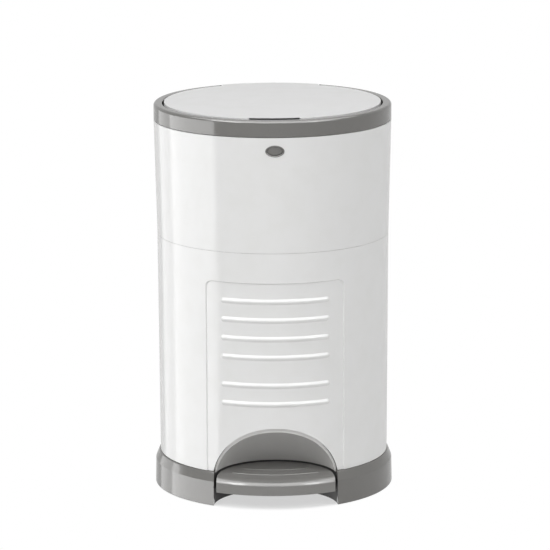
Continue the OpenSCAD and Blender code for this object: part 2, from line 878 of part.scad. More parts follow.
function collar_inside() =
    let (round_r = top_r - collar_round, round_z = crest_z - collar_round)
    concat(
        [[opening_r + 2.4, deck_top_z], [opening_r + 2.4, crest_z - collar_wall]],
        arc(round_r, round_z, collar_round - collar_wall, 90, 0, 6),
        [[top_r - collar_wall, collar_low_z + 4.8], [top_r - 5.6, collar_low_z + 3], [top_r - 5.6, collar_low_z - 4.6],
            [top_r - 3.6, collar_low_z - 4.6], [top_r - 3.6, collar_low_z]]);

// The part of the ring near a cut end, filled in
module collar_end() {
    intersection() {
        rotate_extrude($fn = 180)
            polygon(concat(collar_outline(), [[opening_r + 2.4, deck_top_z], [opening_r + 2.4, collar_low_z]]));
        block([slot_half_w, 100, collar_low_z], [slot_half_w + 2.6, far / 2, far * 2]);
    }
}

module collar() {
    color(grey)
    union() {
        difference() {
            rotate_extrude($fn = 180) polygon(concat(collar_outline(), collar_inside()));
            block([-slot_half_w, 100, collar_low_z - 10], [slot_half_w, far / 2, far * 2]);
        }
        pair() collar_end();
    }
}

module collar_funnel() {
    throat = tube_r + tube_wall + 1.4;
    deck_r = opening_r + 2.4;
    color(white)
    difference() {
        union() {
            difference() {
                rotate_extrude($fn = 180)
                    polygon([
                        [deck_r, deck_top_z - funnel_t], [deck_r, deck_top_z], [102.5, deck_top_z],
                        [throat - 1, deck_top_z - 10.4], [throat + 0.8, deck_top_z - 12], [103.5, deck_top_z - funnel_t]]);
                // Room for the crank and the hinge ears
                block([-ear_x - ear_w - 2, hinge_y - neck_back - 2.5, deck_top_z - 20],
                    [ear_x + ear_w + 2, far, deck_top_z + 5]);
                block([-slot_half_w, 131, deck_top_z - 20], [slot_half_w, far, deck_top_z + 5]);
            }
            // Arms under the lid's cover that carry the hinge bosses
            pair() {
                block([arm_x, hinge_y - neck_back + 0.5, deck_top_z - 1], [slot_half_w - 8, 131, hinge_z - 2]);
                hinge_plate(arm_x, arm_x + arm_w)
                    polygon([
                        [-neck_back + 0.5, deck_top_z - 1 - hinge_z], [-4.5, deck_top_z - 1 - hinge_z],
                        [0, -boss_r], [0, 0], [-4, 0], [-6, -2], [-neck_back + 0.5, -2]]);
                bar_x(hinge_y, hinge_z, boss_r, arm_x, arm_x + arm_w);
            }
            // Latch tongue, with a window for the button's nose
            difference() {
                block([-tongue_half_w, tongue_y, button_z - 8], [tongue_half_w, tongue_y + tongue_t, deck_top_z - 1]);
                block([-4, tongue_y - 1, button_z - 2.4], [4, tongue_y + tongue_t + 1, button_z + 2.4]);
            }
        }
        bar_x(hinge_y, hinge_z, hinge_r + run, -far / 4, far / 4);
    }
}

// ---------------------------------------------------------------- lid

lid_rings = 10;
lid_edge_round = 1.4;

function lid_section() =
    let (flat_r = lid_r - lid_edge_round, in_r = lid_r - 2.4)
    concat(
        [for (i = [0:lid_rings]) [flat_r * i / lid_rings, crown_z(flat_r * i / lid_rings)]],
        arc(flat_r, crown_z(flat_r) - lid_edge_round, lid_edge_round, 75, 0, 4),
        [[lid_r, rim_z], [in_r, rim_z]],
        [for (i = [lid_rings:-1:0]) [in_r * i / lid_rings, crown_z(in_r * i / lid_rings) - lid_wall]]);

function tail_section() =
    let (round_r = top_r - collar_round, round_z = tail_z - collar_round, in_r = lid_r - 3)
    concat(
        [[in_r, crown_z(in_r) - lid_wall / 2], [in_r, crown_z(in_r)]],
        arc(round_r, round_z, collar_round, 90, 0, 10),
        [[top_r, hinge_z + 3], [top_r - 2.4, hinge_z + 3]],
        arc(round_r, round_z, collar_round - 2.4, 0, 90, 8));

// The cover's section, filled in
function tail_outline() =
    let (round_r = top_r - collar_round, round_z = tail_z - collar_round, in_r = lid_r - 3)
    concat([[in_r, hinge_z + 3], [in_r, crown_z(in_r)]], arc(round_r, round_z, collar_round, 90, 0, 10),
        [[top_r, hinge_z + 3]]);

module lid() {
    color(white)
    difference() {
        union() {
            difference() {
                rotate_extrude($fn = 180) polygon(lid_section());
                // The rim stops at the cover over the hinge
                block([-tail_half_w + 2.4, 100, rim_z - 1], [tail_half_w - 2.4, far, block_top_z + 0.1]);
                // Finger notch
                intersection() {
                    difference() {
                        translate([0, 0, rim_z - 1]) cylinder(r = lid_r + 5, h = far);
                        translate([0, 0, rim_z - 2]) cylinder(r = lid_r - finger_deep, h = far);
                    }
                    block([-finger_half_w, -far, 0], [finger_half_w, 0, 2 * far]);
                }
            }
            // Wall behind the finger notch
            intersection() {
                sweep(-16, 16)
                    polygon([
                        [lid_r - finger_deep - 2.2, rim_z], [lid_r - finger_deep, rim_z],
                        [lid_r - finger_deep, crown_z(lid_r) - 0.5], [lid_r - finger_deep - 2.2, crown_z(lid_r) - 0.5]]);
                block([-finger_half_w - 2, -far, 0], [finger_half_w + 2, 0, 2 * far]);
            }
            // Cover over the hinge, open below, with an end wall on each side
            intersection() {
                rotate_extrude($fn = 180) polygon(tail_section());
                block([-tail_half_w, 100, 0], [tail_half_w, far, 2 * far]);
            }
            pair()
                intersection() {
                    rotate_extrude($fn = 180) polygon(tail_outline());
                    block([tail_half_w - 2.4, 100, 0], [tail_half_w, far, 2 * far]);
                }
        }
        pair() translate([block_screw_x, block_screw_y, 0]) cylinder(r = screw_r, h = block_top_z + 2, $fn = 32);
    }
}

// Moulding under the lid: hinge lugs, and the crank that the push rod lifts
module lid_hinge_block() {
    plate_z = block_top_z - 2.4;
    color(grey)
    difference() {
        union() {
            block([-lug_x - lug_w - 2, hinge_y - 11, plate_z], [lug_x + lug_w + 2, hinge_y - 1, block_top_z]);
            pair() {
                block([lug_x, hinge_y - 3.5, hinge_z], [lug_x + lug_w, hinge_y + 3.5, plate_z + 1]);
                bar_x(hinge_y, hinge_z, boss_r, lug_x, lug_x + lug_w);
                block([crank_x, hinge_y - 3.5, hinge_z], [crank_x + crank_w, hinge_y + 3.5, plate_z + 1]);
                bar_x(hinge_y, hinge_z, boss_r, crank_x, crank_x + crank_w);
                translate([crank_x, hinge_y, hinge_z])
                    rotate([45, 0, 0])
                        block([0, -crank_r, -4], [crank_w, 0, 4]);
                bar_x(roller_y, roller_z, roller_r + 1.4, crank_x, crank_x + crank_w);
            }
        }
        bar_x(hinge_y, hinge_z, hinge_r + run, -far / 4, far / 4);
        bar_x(roller_y, roller_z, roller_r - 1 + run, -far / 4, far / 4);
        pair() translate([block_screw_x, block_screw_y, 0]) cylinder(r = screw_r + 0.4, h = far * 2, $fn = 32);
    }
}

module lid_screws() {
    color(steel)
    pair()
        translate([block_screw_x, block_screw_y, block_top_z - 2.4]) mirror([0, 0, 1]) screw(4.2);
}

module crank_roller() {
    color(steel)
    union() {
        bar_x(roller_y, roller_z, roller_r - 1, -crank_x - crank_w, crank_x + crank_w);
        bar_x(roller_y, roller_z, roller_r, -crank_x + run, crank_x - run);
    }
}

module hinge_pin() {
    color(steel)
    bar_x(hinge_y, hinge_z, hinge_r, -arm_x - arm_w - 0.6, arm_x + arm_w + 0.6);
}

module lid_liner() {
    floor_z = deck_top_z + 8;
    color(white)
    rotate_extrude($fn = 180)
        polygon([
            [0, floor_z], [seal_r - 4.6, floor_z], [seal_r - 4.6, floor_z - 2], [seal_r - 2.6, floor_z - 2],
            [seal_r - 2.6, floor_z], [seal_r + 2.6, floor_z], [seal_r + 2.6, floor_z - 2],
            [seal_r + 4.6, floor_z - 2], [seal_r + 4.6, floor_z], [liner_r - 2, floor_z], [liner_r, floor_z + 2],
            [liner_r, crown_z(liner_r) - lid_wall - run], [liner_r - 2, crown_z(liner_r - 2) - lid_wall - run],
            [liner_r - 2, floor_z + 3], [liner_r - 3, floor_z + 2], [0, floor_z + 2]]);
}

module lid_seal() {
    floor_z = deck_top_z + 8;
    color("gray")
    rotate_extrude($fn = 180)
        polygon(concat(
            [[seal_r - 2.5, floor_z - run], [seal_r - 2.5, deck_top_z + 3]],
            arc(seal_r, deck_top_z + 2.9, 2.5, 180, 360, 8),
            [[seal_r + 2.5, floor_z - run]]));
}

// ---------------------------------------------------------------- release button

module button_bezel() {
    w = button_w + 2 * bezel_w;
    h = button_h + 2 * bezel_w;
    color(grey)
    intersection() {
        difference() {
            oval_y(w, h, button_z, -far / 2, -far / 4);
            oval_y(button_w + 0.5, button_h + 0.5, button_z, -far / 2, -far / 4);
        }
        difference() {
            body_solid(button_z - 20, housing_z - 1, -0.9);
            body_solid(button_z - 25, housing_z, wall);
        }
    }
}

nose_y = tongue_y + tongue_t + seat;

module release_button() {
    color(grey)
    union() {
        intersection() {
            oval_y(button_w, button_h, button_z, -far / 2, -far / 4);
            difference() {
                body_solid(button_z - 20, housing_z - 1, 0.2);
                body_solid(button_z - 25, housing_z, button_t);
            }
        }
        // Two arms round the tongue, a bar behind it and the nose on the bar
        pair() block([6.9, -body_r(button_z) + 2, button_z - 2], [8.6, nose_y + 3, button_z + 2]);
        block([-8.6, nose_y + 0.8, button_z - 2], [8.6, nose_y + 3, button_z + 2]);
        block([-3.4, nose_y, button_z - 1.8], [3.4, nose_y + 1, button_z + 1.8]);
    }
}

module latch_guide() {
    color(white)
    intersection() {
        difference() {
            block([-13, -far, button_z - 8], [13, guide_back_y, button_z + 5]);
            // Way for the button's frame and the tongue
            block([-8.9, -far, button_z - 2.3], [8.9, guide_back_y - 2.4, far * 2]);
            block([-tongue_half_w - 0.8, -far, button_z - 20], [tongue_half_w + 0.8, nose_y + 5.6, far * 2]);
            oval_y(button_w + 2 * clear, button_h + 2 * clear, button_z, -far / 2,
                -body_r(button_z) + button_t + button_travel + clear);
        }
        body_solid(button_z - 20, housing_z, wall + run);
    }
}

button_curls = 3;
button_wire = 0.25;
button_spring_l = guide_back_y - 2.4 - nose_y - 3;

module button_spring() {
    pitch = (button_spring_l - 2 * button_wire) / button_curls;
    color(steel)
    translate([0, nose_y + 3 + button_wire, button_z])
        coil(button_curls, 1.6, pitch, button_wire);
    echo(button_spring_least_gap = least_gap(button_curls, 1.6, pitch, button_wire));
}

// ---------------------------------------------------------------- pedal

module tread_section(t) {
    r = base_r - t;
    low = t > 0 ? pedal_low_z - 5 : pedal_low_z;
    polygon([
        [40, low], [r, low], [r, tread_z - 6.7 - t / 3], [r - 3.7, tread_z - 1.7 - t],
        [r - 8.5, tread_z - t], [40, tread_z - t]]);
}

// The pedal's outline: the bin's front on one side, the recess on the other
module pedal_shape(t) {
    intersection() {
        rotate_extrude($fn = 180) tread_section(t);
        translate([0, -recess_y, 0]) cylinder(r = pedal_r - t, h = far, $fn = 128);
    }
}

module pedal() {
    color(grey)
    union() {
        difference() {
            union() {
                difference() {
                    pedal_shape(0);
                    pedal_shape(pedal_wall);
                }
                // Ribs that stand on the lever
                intersection() {
                    pair() block([7, -base_r, lever_top_z], [9.4, -recess_y + pedal_r, tread_z - 1]);
                    pedal_shape(0.2);
                }
                // Screw posts
                for (y = pedal_boss_ys)
                    translate([0, y, lever_top_z]) cylinder(r = 4.5, h = tread_z - lever_top_z - 1);
            }
            for (y = pedal_boss_ys)
                translate([0, y, 0]) cylinder(r = screw_r, h = tread_z - 4, $fn = 32);
            // Room for the lever under the back edge
            block([-lever_half_w - 1, -recess_y + pedal_r - 8, 0], [lever_half_w + 1, 0, lever_top_z + 0.6]);
        }
        // Two grip ridges on the tread
        sweep(-25, 25) translate([126, tread_z - 0.2]) circle(r = 1, $fn = 24);
        sweep(-24, 24) translate([103, tread_z - 0.3]) circle(r = 1, $fn = 24);
    }
}

module pedal_lever() {
    front = pedal_boss_ys[0] - 8;
    back = rod_y + 6;
    color(steel)
    difference() {
        union() {
            block([-lever_half_w, front, lever_top_z - lever_h], [lever_half_w, back, lever_top_z]);
            bar_x(-pivot_y, pivot_z, 6, -lever_half_w - 2, lever_half_w + 2);
        }
        // Channel open below, with the pivot hub left across it
        block([-lever_half_w + lever_t, front + lever_t, lever_top_z - lever_h - 1],
            [lever_half_w - lever_t, -pivot_y - 6, lever_top_z - lever_t]);
        block([-lever_half_w + lever_t, -pivot_y + 6, lever_top_z - lever_h - 1],
            [lever_half_w - lever_t, back - lever_t, lever_top_z - lever_t]);
        bar_x(-pivot_y, pivot_z, pivot_r + run, -far / 4, far / 4);
        for (y = pedal_boss_ys)
            translate([0, y, 0]) cylinder(r = screw_r + 0.4, h = far, $fn = 32);
    }
}

module pedal_screws() {
    color(steel)
    for (y = pedal_boss_ys)
        translate([0, y, lever_top_z - lever_t]) mirror([0, 0, 1]) screw(12);
}

module pivot_pin() {
    color(steel)
    bar_x(-pivot_y, pivot_z, pivot_r, -lever_half_w - 8, lever_half_w + 8);
}

// ---------------------------------------------------------------- push rod

module push_rod() {
    color(steel)
    translate([0, rod_y, rod_low_z + 3]) cylinder(r = rod_r, h = cap_top_z - 3 - rod_low_z - 3, $fn = 48);
}

module rod_cap() {
    color(grey)
    difference() {
        block([-cap_half_w, rod_y - 4.3, cap_top_z - cap_h], [cap_half_w, rod_y + 4.3, cap_top_z]);
        translate([0, rod_y, cap_top_z - cap_h - 1]) cylinder(r = rod_r + 0.02, h = cap_h - 2, $fn = 48);
    }
}

module rod_foot() {
    color(grey)
    translate([0, rod_y, rod_low_z])
        difference() {
            rotate_extrude($fn = 48)
                polygon([[0, 0], [2, 0.1], [4, 0.45], [6, 1], [7, 2], [7, 4], [6, 6], [6, 10], [0, 10]]);
            translate([0, 0, 3]) cylinder(r = rod_r + 0.02, h = 10, $fn = 48);
        }
}

guide_zs = [80, 285];

module rod_guides() {
    color(white)
    intersection() {
        difference() {
            union() {
                for (z = guide_zs)
                    block([-9, rod_y - 6.4, z - 6], [9, far, z + 6]);
            }
            translate([0, rod_y, 0]) cylinder(r = rod_r + 0.08, h = far * 2, $fn = 48);
        }
        body_solid(door_low_z, door_top_z, wall + run);
    }
}

// Channel that keeps the liner off the rod
module rod_cover() {
    color(white)
    intersection() {
        difference() {
            block([-12.5, rod_y - 10, base_h], [12.5, far, door_top_z - 1]);
            block([-10.5, rod_y - 8, base_h - 1], [10.5, far, door_top_z]);
        }
        body_solid(base_h, door_top_z, wall + run);
    }
}

// ---------------------------------------------------------------- assembly

base();
toe_recess();
rubber_feet();
base_screws();
rear_shell();
front_door();
door_hinge_pins();
door_catch();
catch_keeper();
upper_housing();
housing_screws();
refill_tray();
drop_tube();
refill_cassette();
film_pack();
cassette_cover();
trap_flap_left();
trap_flap_right();
flap_pins();
flap_springs();
film_cutter();
cutter_blade();
collar();
collar_funnel();
lid();
lid_liner();
lid_seal();
lid_hinge_block();
lid_screws();
hinge_pin();
crank_roller();
release_button();
button_bezel();
button_spring();
latch_guide();
pedal();
pedal_lever();
pedal_screws();
pivot_pin();
push_rod();
rod_cap();
rod_foot();
rod_guides();
rod_cover();
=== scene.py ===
# %% [markdown]
# # A pedal nappy bin, dressed for its picture
# The bin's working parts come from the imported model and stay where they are. This
# lesson builds smooth mouldings over the ones that show, gives every part a finish,
# and then sets up the light and the camera. Each step explains itself before it runs.

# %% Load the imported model
from math import acos, asin, atan2, copysign, cos, degrees, hypot, inf, pi, radians, sin, sqrt, tan

import bmesh
import bpy
from mathutils import Matrix, Vector, noise


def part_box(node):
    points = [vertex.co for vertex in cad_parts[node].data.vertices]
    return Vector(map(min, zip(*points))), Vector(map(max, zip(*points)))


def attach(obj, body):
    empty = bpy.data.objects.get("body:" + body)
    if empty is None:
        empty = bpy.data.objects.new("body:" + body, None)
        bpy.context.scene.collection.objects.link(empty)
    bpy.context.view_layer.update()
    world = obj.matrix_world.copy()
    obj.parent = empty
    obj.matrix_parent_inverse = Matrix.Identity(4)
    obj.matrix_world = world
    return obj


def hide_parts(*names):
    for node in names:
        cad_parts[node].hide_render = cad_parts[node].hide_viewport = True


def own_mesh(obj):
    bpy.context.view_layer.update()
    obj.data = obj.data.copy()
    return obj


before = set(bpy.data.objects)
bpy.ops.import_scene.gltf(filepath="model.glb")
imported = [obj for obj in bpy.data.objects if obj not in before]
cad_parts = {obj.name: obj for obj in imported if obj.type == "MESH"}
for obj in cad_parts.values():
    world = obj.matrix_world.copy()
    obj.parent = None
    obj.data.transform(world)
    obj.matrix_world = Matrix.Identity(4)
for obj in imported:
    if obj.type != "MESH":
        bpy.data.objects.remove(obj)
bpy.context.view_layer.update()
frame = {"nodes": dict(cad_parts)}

nodes, scene = frame["nodes"], bpy.context.scene

# %% [markdown]
# ## Sizes
# A moulding has to sit exactly on the part that carries it. The main radii and heights
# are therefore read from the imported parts, and only the shapes inside a moulding are
# written here as numbers. The seam between door and housing is drawn finer than the gap
# that the parts need. All lengths in this lesson are in millimetres, and each mesh is
# scaled to metres once, when it is made.

# %% Sizes read from the parts
MM = 0.001


def span(node, axis):
    low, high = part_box(node)
    return low[axis] / MM, high[axis] / MM


base_r, base_h = span("base", 0)[1], 42.5
door_low, door_end = span("front_door", 2)
housing_start, housing_top = span("upper_housing", 2)[0], 465.2
top_r = span("collar", 0)[1]
waist_r, seam_r, seam_z = 143.4, 144.8, (door_end + housing_start) / 2
wall, half_seam = 2.8, 0.12
door_top, housing_low = seam_z - half_seam, seam_z + half_seam


def body_r(z):
    """Outer radius of the white body at a height."""
    if z <= seam_z:
        return waist_r + (seam_r - waist_r) * (z - base_h) / (seam_z - base_h)
    return seam_r + (top_r - seam_r) * (z - seam_z) / (housing_top - seam_z)


print("seam at", round(seam_z, 2), "collar radius", round(top_r, 2))

# %% [markdown]
# ## Tools for mouldings
# An injection moulding is mostly rings, walls and plates. A modelling program could
# turn, extrude and cut solids, but cuts leave ragged faces that spoil a glossy skin.
# Here every wall is laid out as a net whose lines follow its edges, so the skin stays
# even right up to each opening. `Moulding` collects such pieces before they become
# one object.

# %% Outlines
def arc(x, y, r, start, end, n=6):
    """Points on an arc about (x, y), in degrees."""
    turns = [radians(start + (end - start) * i / n) for i in range(n + 1)]
    return [(x + r * cos(t), y + r * sin(t)) for t in turns]


def rounded(corners, n=4):
    """A closed outline from (x, y, radius) corners, each one turned into an arc."""
    straight, most = 1.56, 0.49    # half angle that needs no arc; share of a side that an arc may use
    points = []
    for i, (x, y, r) in enumerate(corners):
        here = Vector((x, y))
        back, ahead = (Vector(corners[k % len(corners)][:2]) - here for k in (i - 1, i + 1))
        half = back.angle(ahead) / 2
        if r <= 0 or half > straight:
            points.append((x, y))
            continue
        reach = min(r / tan(half), most * back.length, most * ahead.length)
        back, ahead = back.normalized(), ahead.normalized()
        middle = here + (back + ahead).normalized() * reach / cos(half)
        a, b = here + back * reach - middle, here + ahead * reach - middle
        turn = a.angle_signed(b)
        for k in range(n + 1):
            spoke = a.copy()
            spoke.rotate(Matrix.Rotation(-turn * k / n, 2))
            points.append(tuple(middle + spoke))
    return points


def circle(x, y, r, n=40):
    return arc(x, y, r, 0, 360 * (n - 1) / n, n - 1)


def oblong(a0, a1, b0, b1):
    """The corners of a rectangle from a0 to a1 and from b0 to b1."""
    return [(a0, b0), (a1, b0), (a1, b1), (a0, b1)]


print("a rounded square has", len(rounded([(*p, 1) for p in oblong(0, 9, 0, 9)])), "points")

# %% Places on circles
def spot(angle, r, centre=0):
    """The (x, y) at radius r about (0, centre), `angle` degrees from the front."""
    a = radians(angle)
    return r * sin(a), centre - r * cos(a)


def on_body(angle, z, r):
    return (*spot(angle, r), z)


def aside(half, r):
    """The angle from the front at which a circle of radius r is `half` off the middle."""
    return degrees(asin(half / r))


print("a quarter turn from the front:", [round(c, 3) for c in spot(90, 1)])

# %% Rings, plates and posts
class Moulding:
    """Collects the rings, walls and plates of one moulding, in millimetres."""

    def __init__(self):
        self.points, self.faces = [], []

    def add(self, points, faces):
        first = len(self.points)
        self.points += [tuple(p) for p in points]
        self.faces += [[first + i for i in f] for f in faces]
        return self

    def loft(self, rows, closed=False):
        """Joins outlines one to the next, and caps the ends or joins the last to the first."""
        count, m = len(rows), len(rows[0])
        faces = [] if closed else [list(range(m)), [(count - 1) * m + j for j in range(m)]]
        for i in range(count if closed else count - 1):
            a, b = i * m, (i + 1) % count * m
            faces += [(a + j, a + (j + 1) % m, b + (j + 1) % m, b + j) for j in range(m)]
        return self.add([p for row in rows for p in row], faces)

    def ring(self, outline, start=-180, end=180, steps=144, centre=0):
        """Turns an outline of (radius, height); start and end may depend on the radius."""
        whole = start == -180 and end == 180
        low = start if callable(start) else lambda r: start
        high = end if callable(end) else lambda r: end
        return self.loft([[(*spot(low(r) + (high(r) - low(r)) * i / steps, r, centre), z) for r, z in outline]
                          for i in range(steps + (not whole))], whole)

    def plate(self, outline, x0, x1):
        """An outline of (y, z), thick along X."""
        return self.loft([[(x, y, z) for y, z in outline] for x in (x0, x1)])

    def post(self, outline, z0, z1):
        """An outline of (x, y), thick along Z."""
        return self.loft([[(x, y, z) for x, y in outline] for z in (z0, z1)])

    def block(self, a, b):
        """A box between two corners."""
        return self.post(oblong(a[0], b[0], a[1], b[1]), a[2], b[2])


print("tools ready:", [n for n in dir(Moulding) if not n.startswith("_")])

# %% [markdown]
# A wall is a net of points, each with a place on the outside and one on the inside.
# The rim is found by itself: an edge that only one face of the net uses is an edge of
# the wall, so a strip joins its outer and inner side there. Around an opening, `fan`
# draws lines from the opening's edge to the net, like the threads of a web.

# %% Walls laid out as nets
class Wall:
    """A curved wall over (angle, height), with an outer and an inner radius."""

    def __init__(self, outer=lambda a, z: body_r(z), inner=lambda a, z: body_r(z) - wall):
        self.outer, self.inner = outer, inner
        self.known, self.outside, self.inside, self.faces = {}, [], [], []

    def place(self, here, there):
        self.outside.append(on_body(*here, self.outer(*here)))
        self.inside.append(on_body(*there, self.inner(*there)))
        return len(self.outside) - 1

    def point(self, angle, z):
        key = (round(angle % 360, 4), round(z, 4))
        if key not in self.known:
            self.known[key] = self.place((angle, z), (angle, z))
        return self.known[key]

    def net(self, angles, heights, skip=lambda a, z: False):
        for a0, a1 in zip(angles, angles[1:]):
            for z0, z1 in zip(heights, heights[1:]):
                if not skip((a0 + a1) / 2, (z0 + z1) / 2):
                    self.faces.append(tuple(self.point(*p) for p in oblong(a0, a1, z0, z1)))

    def fan(self, edge, border, rows, closed=False):
        """edge: pairs of (angle, height) for the outside and the inside; border: net points."""
        lines = []
        for sides, net in zip(edge, border):
            line = [self.place(*[tuple(p + (q - p) * t for p, q in zip(side, net)) for side in sides])
                    for t in (k / rows for k in range(rows))]
            lines.append(line + [self.point(*net)])
        pairs = list(zip(lines, lines[1:])) + ([(lines[-1], lines[0])] if closed else [])
        for a, b in pairs:
            self.faces += [(a[k], b[k], b[k + 1], a[k + 1]) for k in range(rows)]

    def into(self, moulding):
        n = len(self.outside)
        used = {}
        for f in self.faces:
            for a, b in zip(f, f[1:] + f[:1]):
                used.setdefault(frozenset((a, b)), []).append((a, b))
        rim = [(b, a, n + a, n + b) for (a, b), *more in used.values() if not more]
        inner = [tuple(n + i for i in reversed(f)) for f in self.faces]
        return moulding.add(self.outside + self.inside, self.faces + inner + rim)


def evenly(size, *stops):
    """Steps from stop to stop, about `size` apart, all stops included."""
    steps = [stops[0]]
    for a, b in zip(stops, stops[1:]):
        n = max(1, round(abs(b - a) / size))
        steps += [a + (b - a) * i / n for i in range(1, n + 1)]
    return steps


twin = 0.02


def merged(*lists):
    """Joins lists of steps in order and keeps one of each pair of twins."""
    values = sorted(v for part in lists for v in part)
    kept = values[:1]
    for v in values[1:]:
        if v - kept[-1] > twin:
            kept.append(v)
    return kept


def within(values, low, high):
    return [v for v in values if low - twin / 2 <= v <= high + twin / 2]


print("merged steps:", merged([0, 1, 2], [1.001, 3]))

# %% [markdown]
# ## From points to a piece
# Real mouldings have no knife edges: every edge is rounded by a few tenths of a
# millimetre and catches a thin line of light. A bevel modifier adds that rounding where
# faces meet at an angle, and weighted normals keep the large faces calm beside it.

# %% Make an object and soften its edges
def soften(obj, width, angle=38, segments=2):
    """Rounds the edges sharper than `angle` by `width` millimetres."""
    if width:
        bevel = obj.modifiers.new("rounded edges", "BEVEL")
        bevel.width, bevel.segments = width * MM, segments
        bevel.limit_method, bevel.angle_limit = "ANGLE", radians(angle)
    obj.modifiers.new("calm faces", "WEIGHTED_NORMAL").keep_sharp = True


def linked(name, data):
    """Puts an object with this data into the scene."""
    obj = bpy.data.objects.new(name, data)
    scene.collection.objects.link(obj)
    return obj


def smooth_object(net, mesh):
    """Writes a net of faces into a mesh and puts it into the scene."""
    net.to_mesh(mesh)
    net.free()
    mesh.shade_smooth()
    return linked(mesh.name, mesh)


def join_twins(net):
    bmesh.ops.remove_doubles(net, verts=net.verts, dist=0.002 * MM)


def new_object(name, points, faces):
    mesh = bpy.data.meshes.new(name)
    mesh.from_pydata([[c * MM for c in p] for p in points], [], faces)
    net = bmesh.new()
    net.from_mesh(mesh)
    join_twins(net)
    bmesh.ops.recalc_face_normals(net, faces=net.faces)
    return smooth_object(net, mesh)


def fit(obj, body, stands_for, finish):
    """Lets a piece move with its body, stand for its node and take its finish."""
    obj.data.materials.append(finish)
    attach(obj, body)
    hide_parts(*stands_for)
    print(obj.name, "has", len(obj.data.polygons), "faces")
    return obj


def moulded(name, moulding, body, stands_for, finish, edge=0.4, angle=38):
    obj = new_object(name, moulding.points, moulding.faces)
    soften(obj, edge, angle)
    return fit(obj, body, stands_for, finish)


# %% [markdown]
# The lid and the pedal are sheets with a rim: a net seen from above, whose edges are
# drawn down. A solidify modifier then gives the sheet its thickness, and because it
# works on the finished net, the wall stays even round every corner.

# %% Sheets with a rim
def draw_down(net, edges, height):
    """Draws edges down to height(point) and returns the new edges."""
    grown = bmesh.ops.extrude_edge_only(net, edges=edges)["geom"]
    for v in grown:
        if isinstance(v, bmesh.types.BMVert):
            v.co.z = height(v.co) * MM
    return [e for e in grown if isinstance(e, bmesh.types.BMEdge)]


def sheet(name, net, thickness):
    """Turns the net's faces up and lets the wall grow below them."""
    bmesh.ops.recalc_face_normals(net, faces=net.faces)
    if max(net.faces, key=lambda f: f.calc_center_median().z).normal.z < 0:
        bmesh.ops.reverse_faces(net, faces=net.faces)
    obj = smooth_object(net, bpy.data.meshes.new(name))
    thick = obj.modifiers.new("moulding wall", "SOLIDIFY")
    thick.thickness, thick.offset, thick.use_even_offset = thickness * MM, -1, True
    return obj


print("sheets ready")

# %% [markdown]
# ## Finishes
# Plastic, rubber, film and steel differ mostly in how rough they are at a scale that
# is too fine to model. A finish is a small graph of shader nodes. To keep it readable,
# `Field` wraps a socket so that `1 - grain * 0.2` writes its Math nodes, and
# `Graph.node` makes every other node from its type, its settings and its sockets.

# %% Shader maths as expressions
class Field:
    """A number that varies over the surface."""

    def __init__(self, graph, socket):
        self.graph, self.socket = graph, socket

    def maths(self, operation, *values):
        made = self.graph.node("ShaderNodeMath", {"operation": operation}, dict(enumerate(values)))
        return Field(self.graph, made.outputs[0])

    def __add__(self, other): return self.maths("ADD", self, other)
    def __radd__(self, other): return self.maths("ADD", other, self)
    def __sub__(self, other): return self.maths("SUBTRACT", self, other)
    def __rsub__(self, other): return self.maths("SUBTRACT", other, self)
    def __mul__(self, other): return self.maths("MULTIPLY", self, other)
    def __rmul__(self, other): return self.maths("MULTIPLY", other, self)

    def between(self, low, high):
        """0 below low, 1 above high, smooth in between."""
        sockets = {"Value": self, "From Min": low, "From Max": high}
        made = self.graph.node("ShaderNodeMapRange", {"interpolation_type": "SMOOTHSTEP"}, sockets)
        return Field(self.graph, made.outputs[0])


class Graph:
    """The nodes of a material or of the world."""

    def __init__(self, tree):
        self.tree = tree

    def join(self, value, socket):
        """Links a Field or a socket to an input, or writes a plain value there."""
        value = value.socket if isinstance(value, Field) else value
        if isinstance(value, bpy.types.NodeSocket):
            self.tree.links.new(value, socket)
        else:
            socket.default_value = value

    def node(self, kind, settings=None, sockets=None):
        made = self.tree.nodes.new(kind)
        for key, value in (settings or {}).items():
            setattr(made, key, value)
        for key, value in (sockets or {}).items():
            self.join(value, made.inputs[key])
        return made

    def either(self, share, first, second):
        """The first shader where share is 0, the second where it is 1."""
        return self.node("ShaderNodeMixShader", None, {0: share, 1: first.outputs[0], 2: second.outputs[0]})


print("expressions ready")

# %% What every finish needs
class Finish(Graph):
    """A material, and short ways to write its nodes."""

    def __init__(self, name, **fixed):
        self.material = bpy.data.materials.new(name)
        self.material.use_nodes = True
        super().__init__(self.material.node_tree)
        self.surface = self.tree.nodes["Principled BSDF"]
        for socket, value in fixed.items():
            self.surface.inputs[socket.replace("_", " ")].default_value = value
        self.place = self.node("ShaderNodeTexCoord").outputs["Object"]

    def grain(self, size, detail=2.0, roughness=0.5, stretch=None):
        """Noise whose blobs are about `size` millimetres across before any stretch."""
        place = self.place
        if stretch:
            place = self.node("ShaderNodeMapping", None, {"Vector": place, "Scale": stretch}).outputs[0]
        sockets = {"Vector": place, "Scale": 1 / (size * MM), "Detail": detail, "Roughness": roughness}
        return Field(self, self.node("ShaderNodeTexNoise", None, sockets).outputs[0])

    def skin(self, amount, colours, rough, height, depth):
        """Feeds colour, roughness and a bump `depth` millimetres deep where height is 0 to 1."""
        mixed = self.node("ShaderNodeMix", {"data_type": "RGBA"}, {0: amount, 6: colours[0], 7: colours[1]})
        bump = self.node("ShaderNodeBump", None, {"Height": height, "Distance": depth * MM, "Strength": 1.0})
        for value, socket in ((mixed.outputs[2], "Base Color"), (rough, "Roughness"), (bump.outputs[0], "Normal")):
            self.join(value, self.surface.inputs[socket])
        return self.material


def tone(r, g=None, b=None):
    """An opaque colour, grey unless three numbers are given."""
    return (r, r if g is None else g, r if b is None else b, 1.0)


print("mid grey is", tone(0.5))

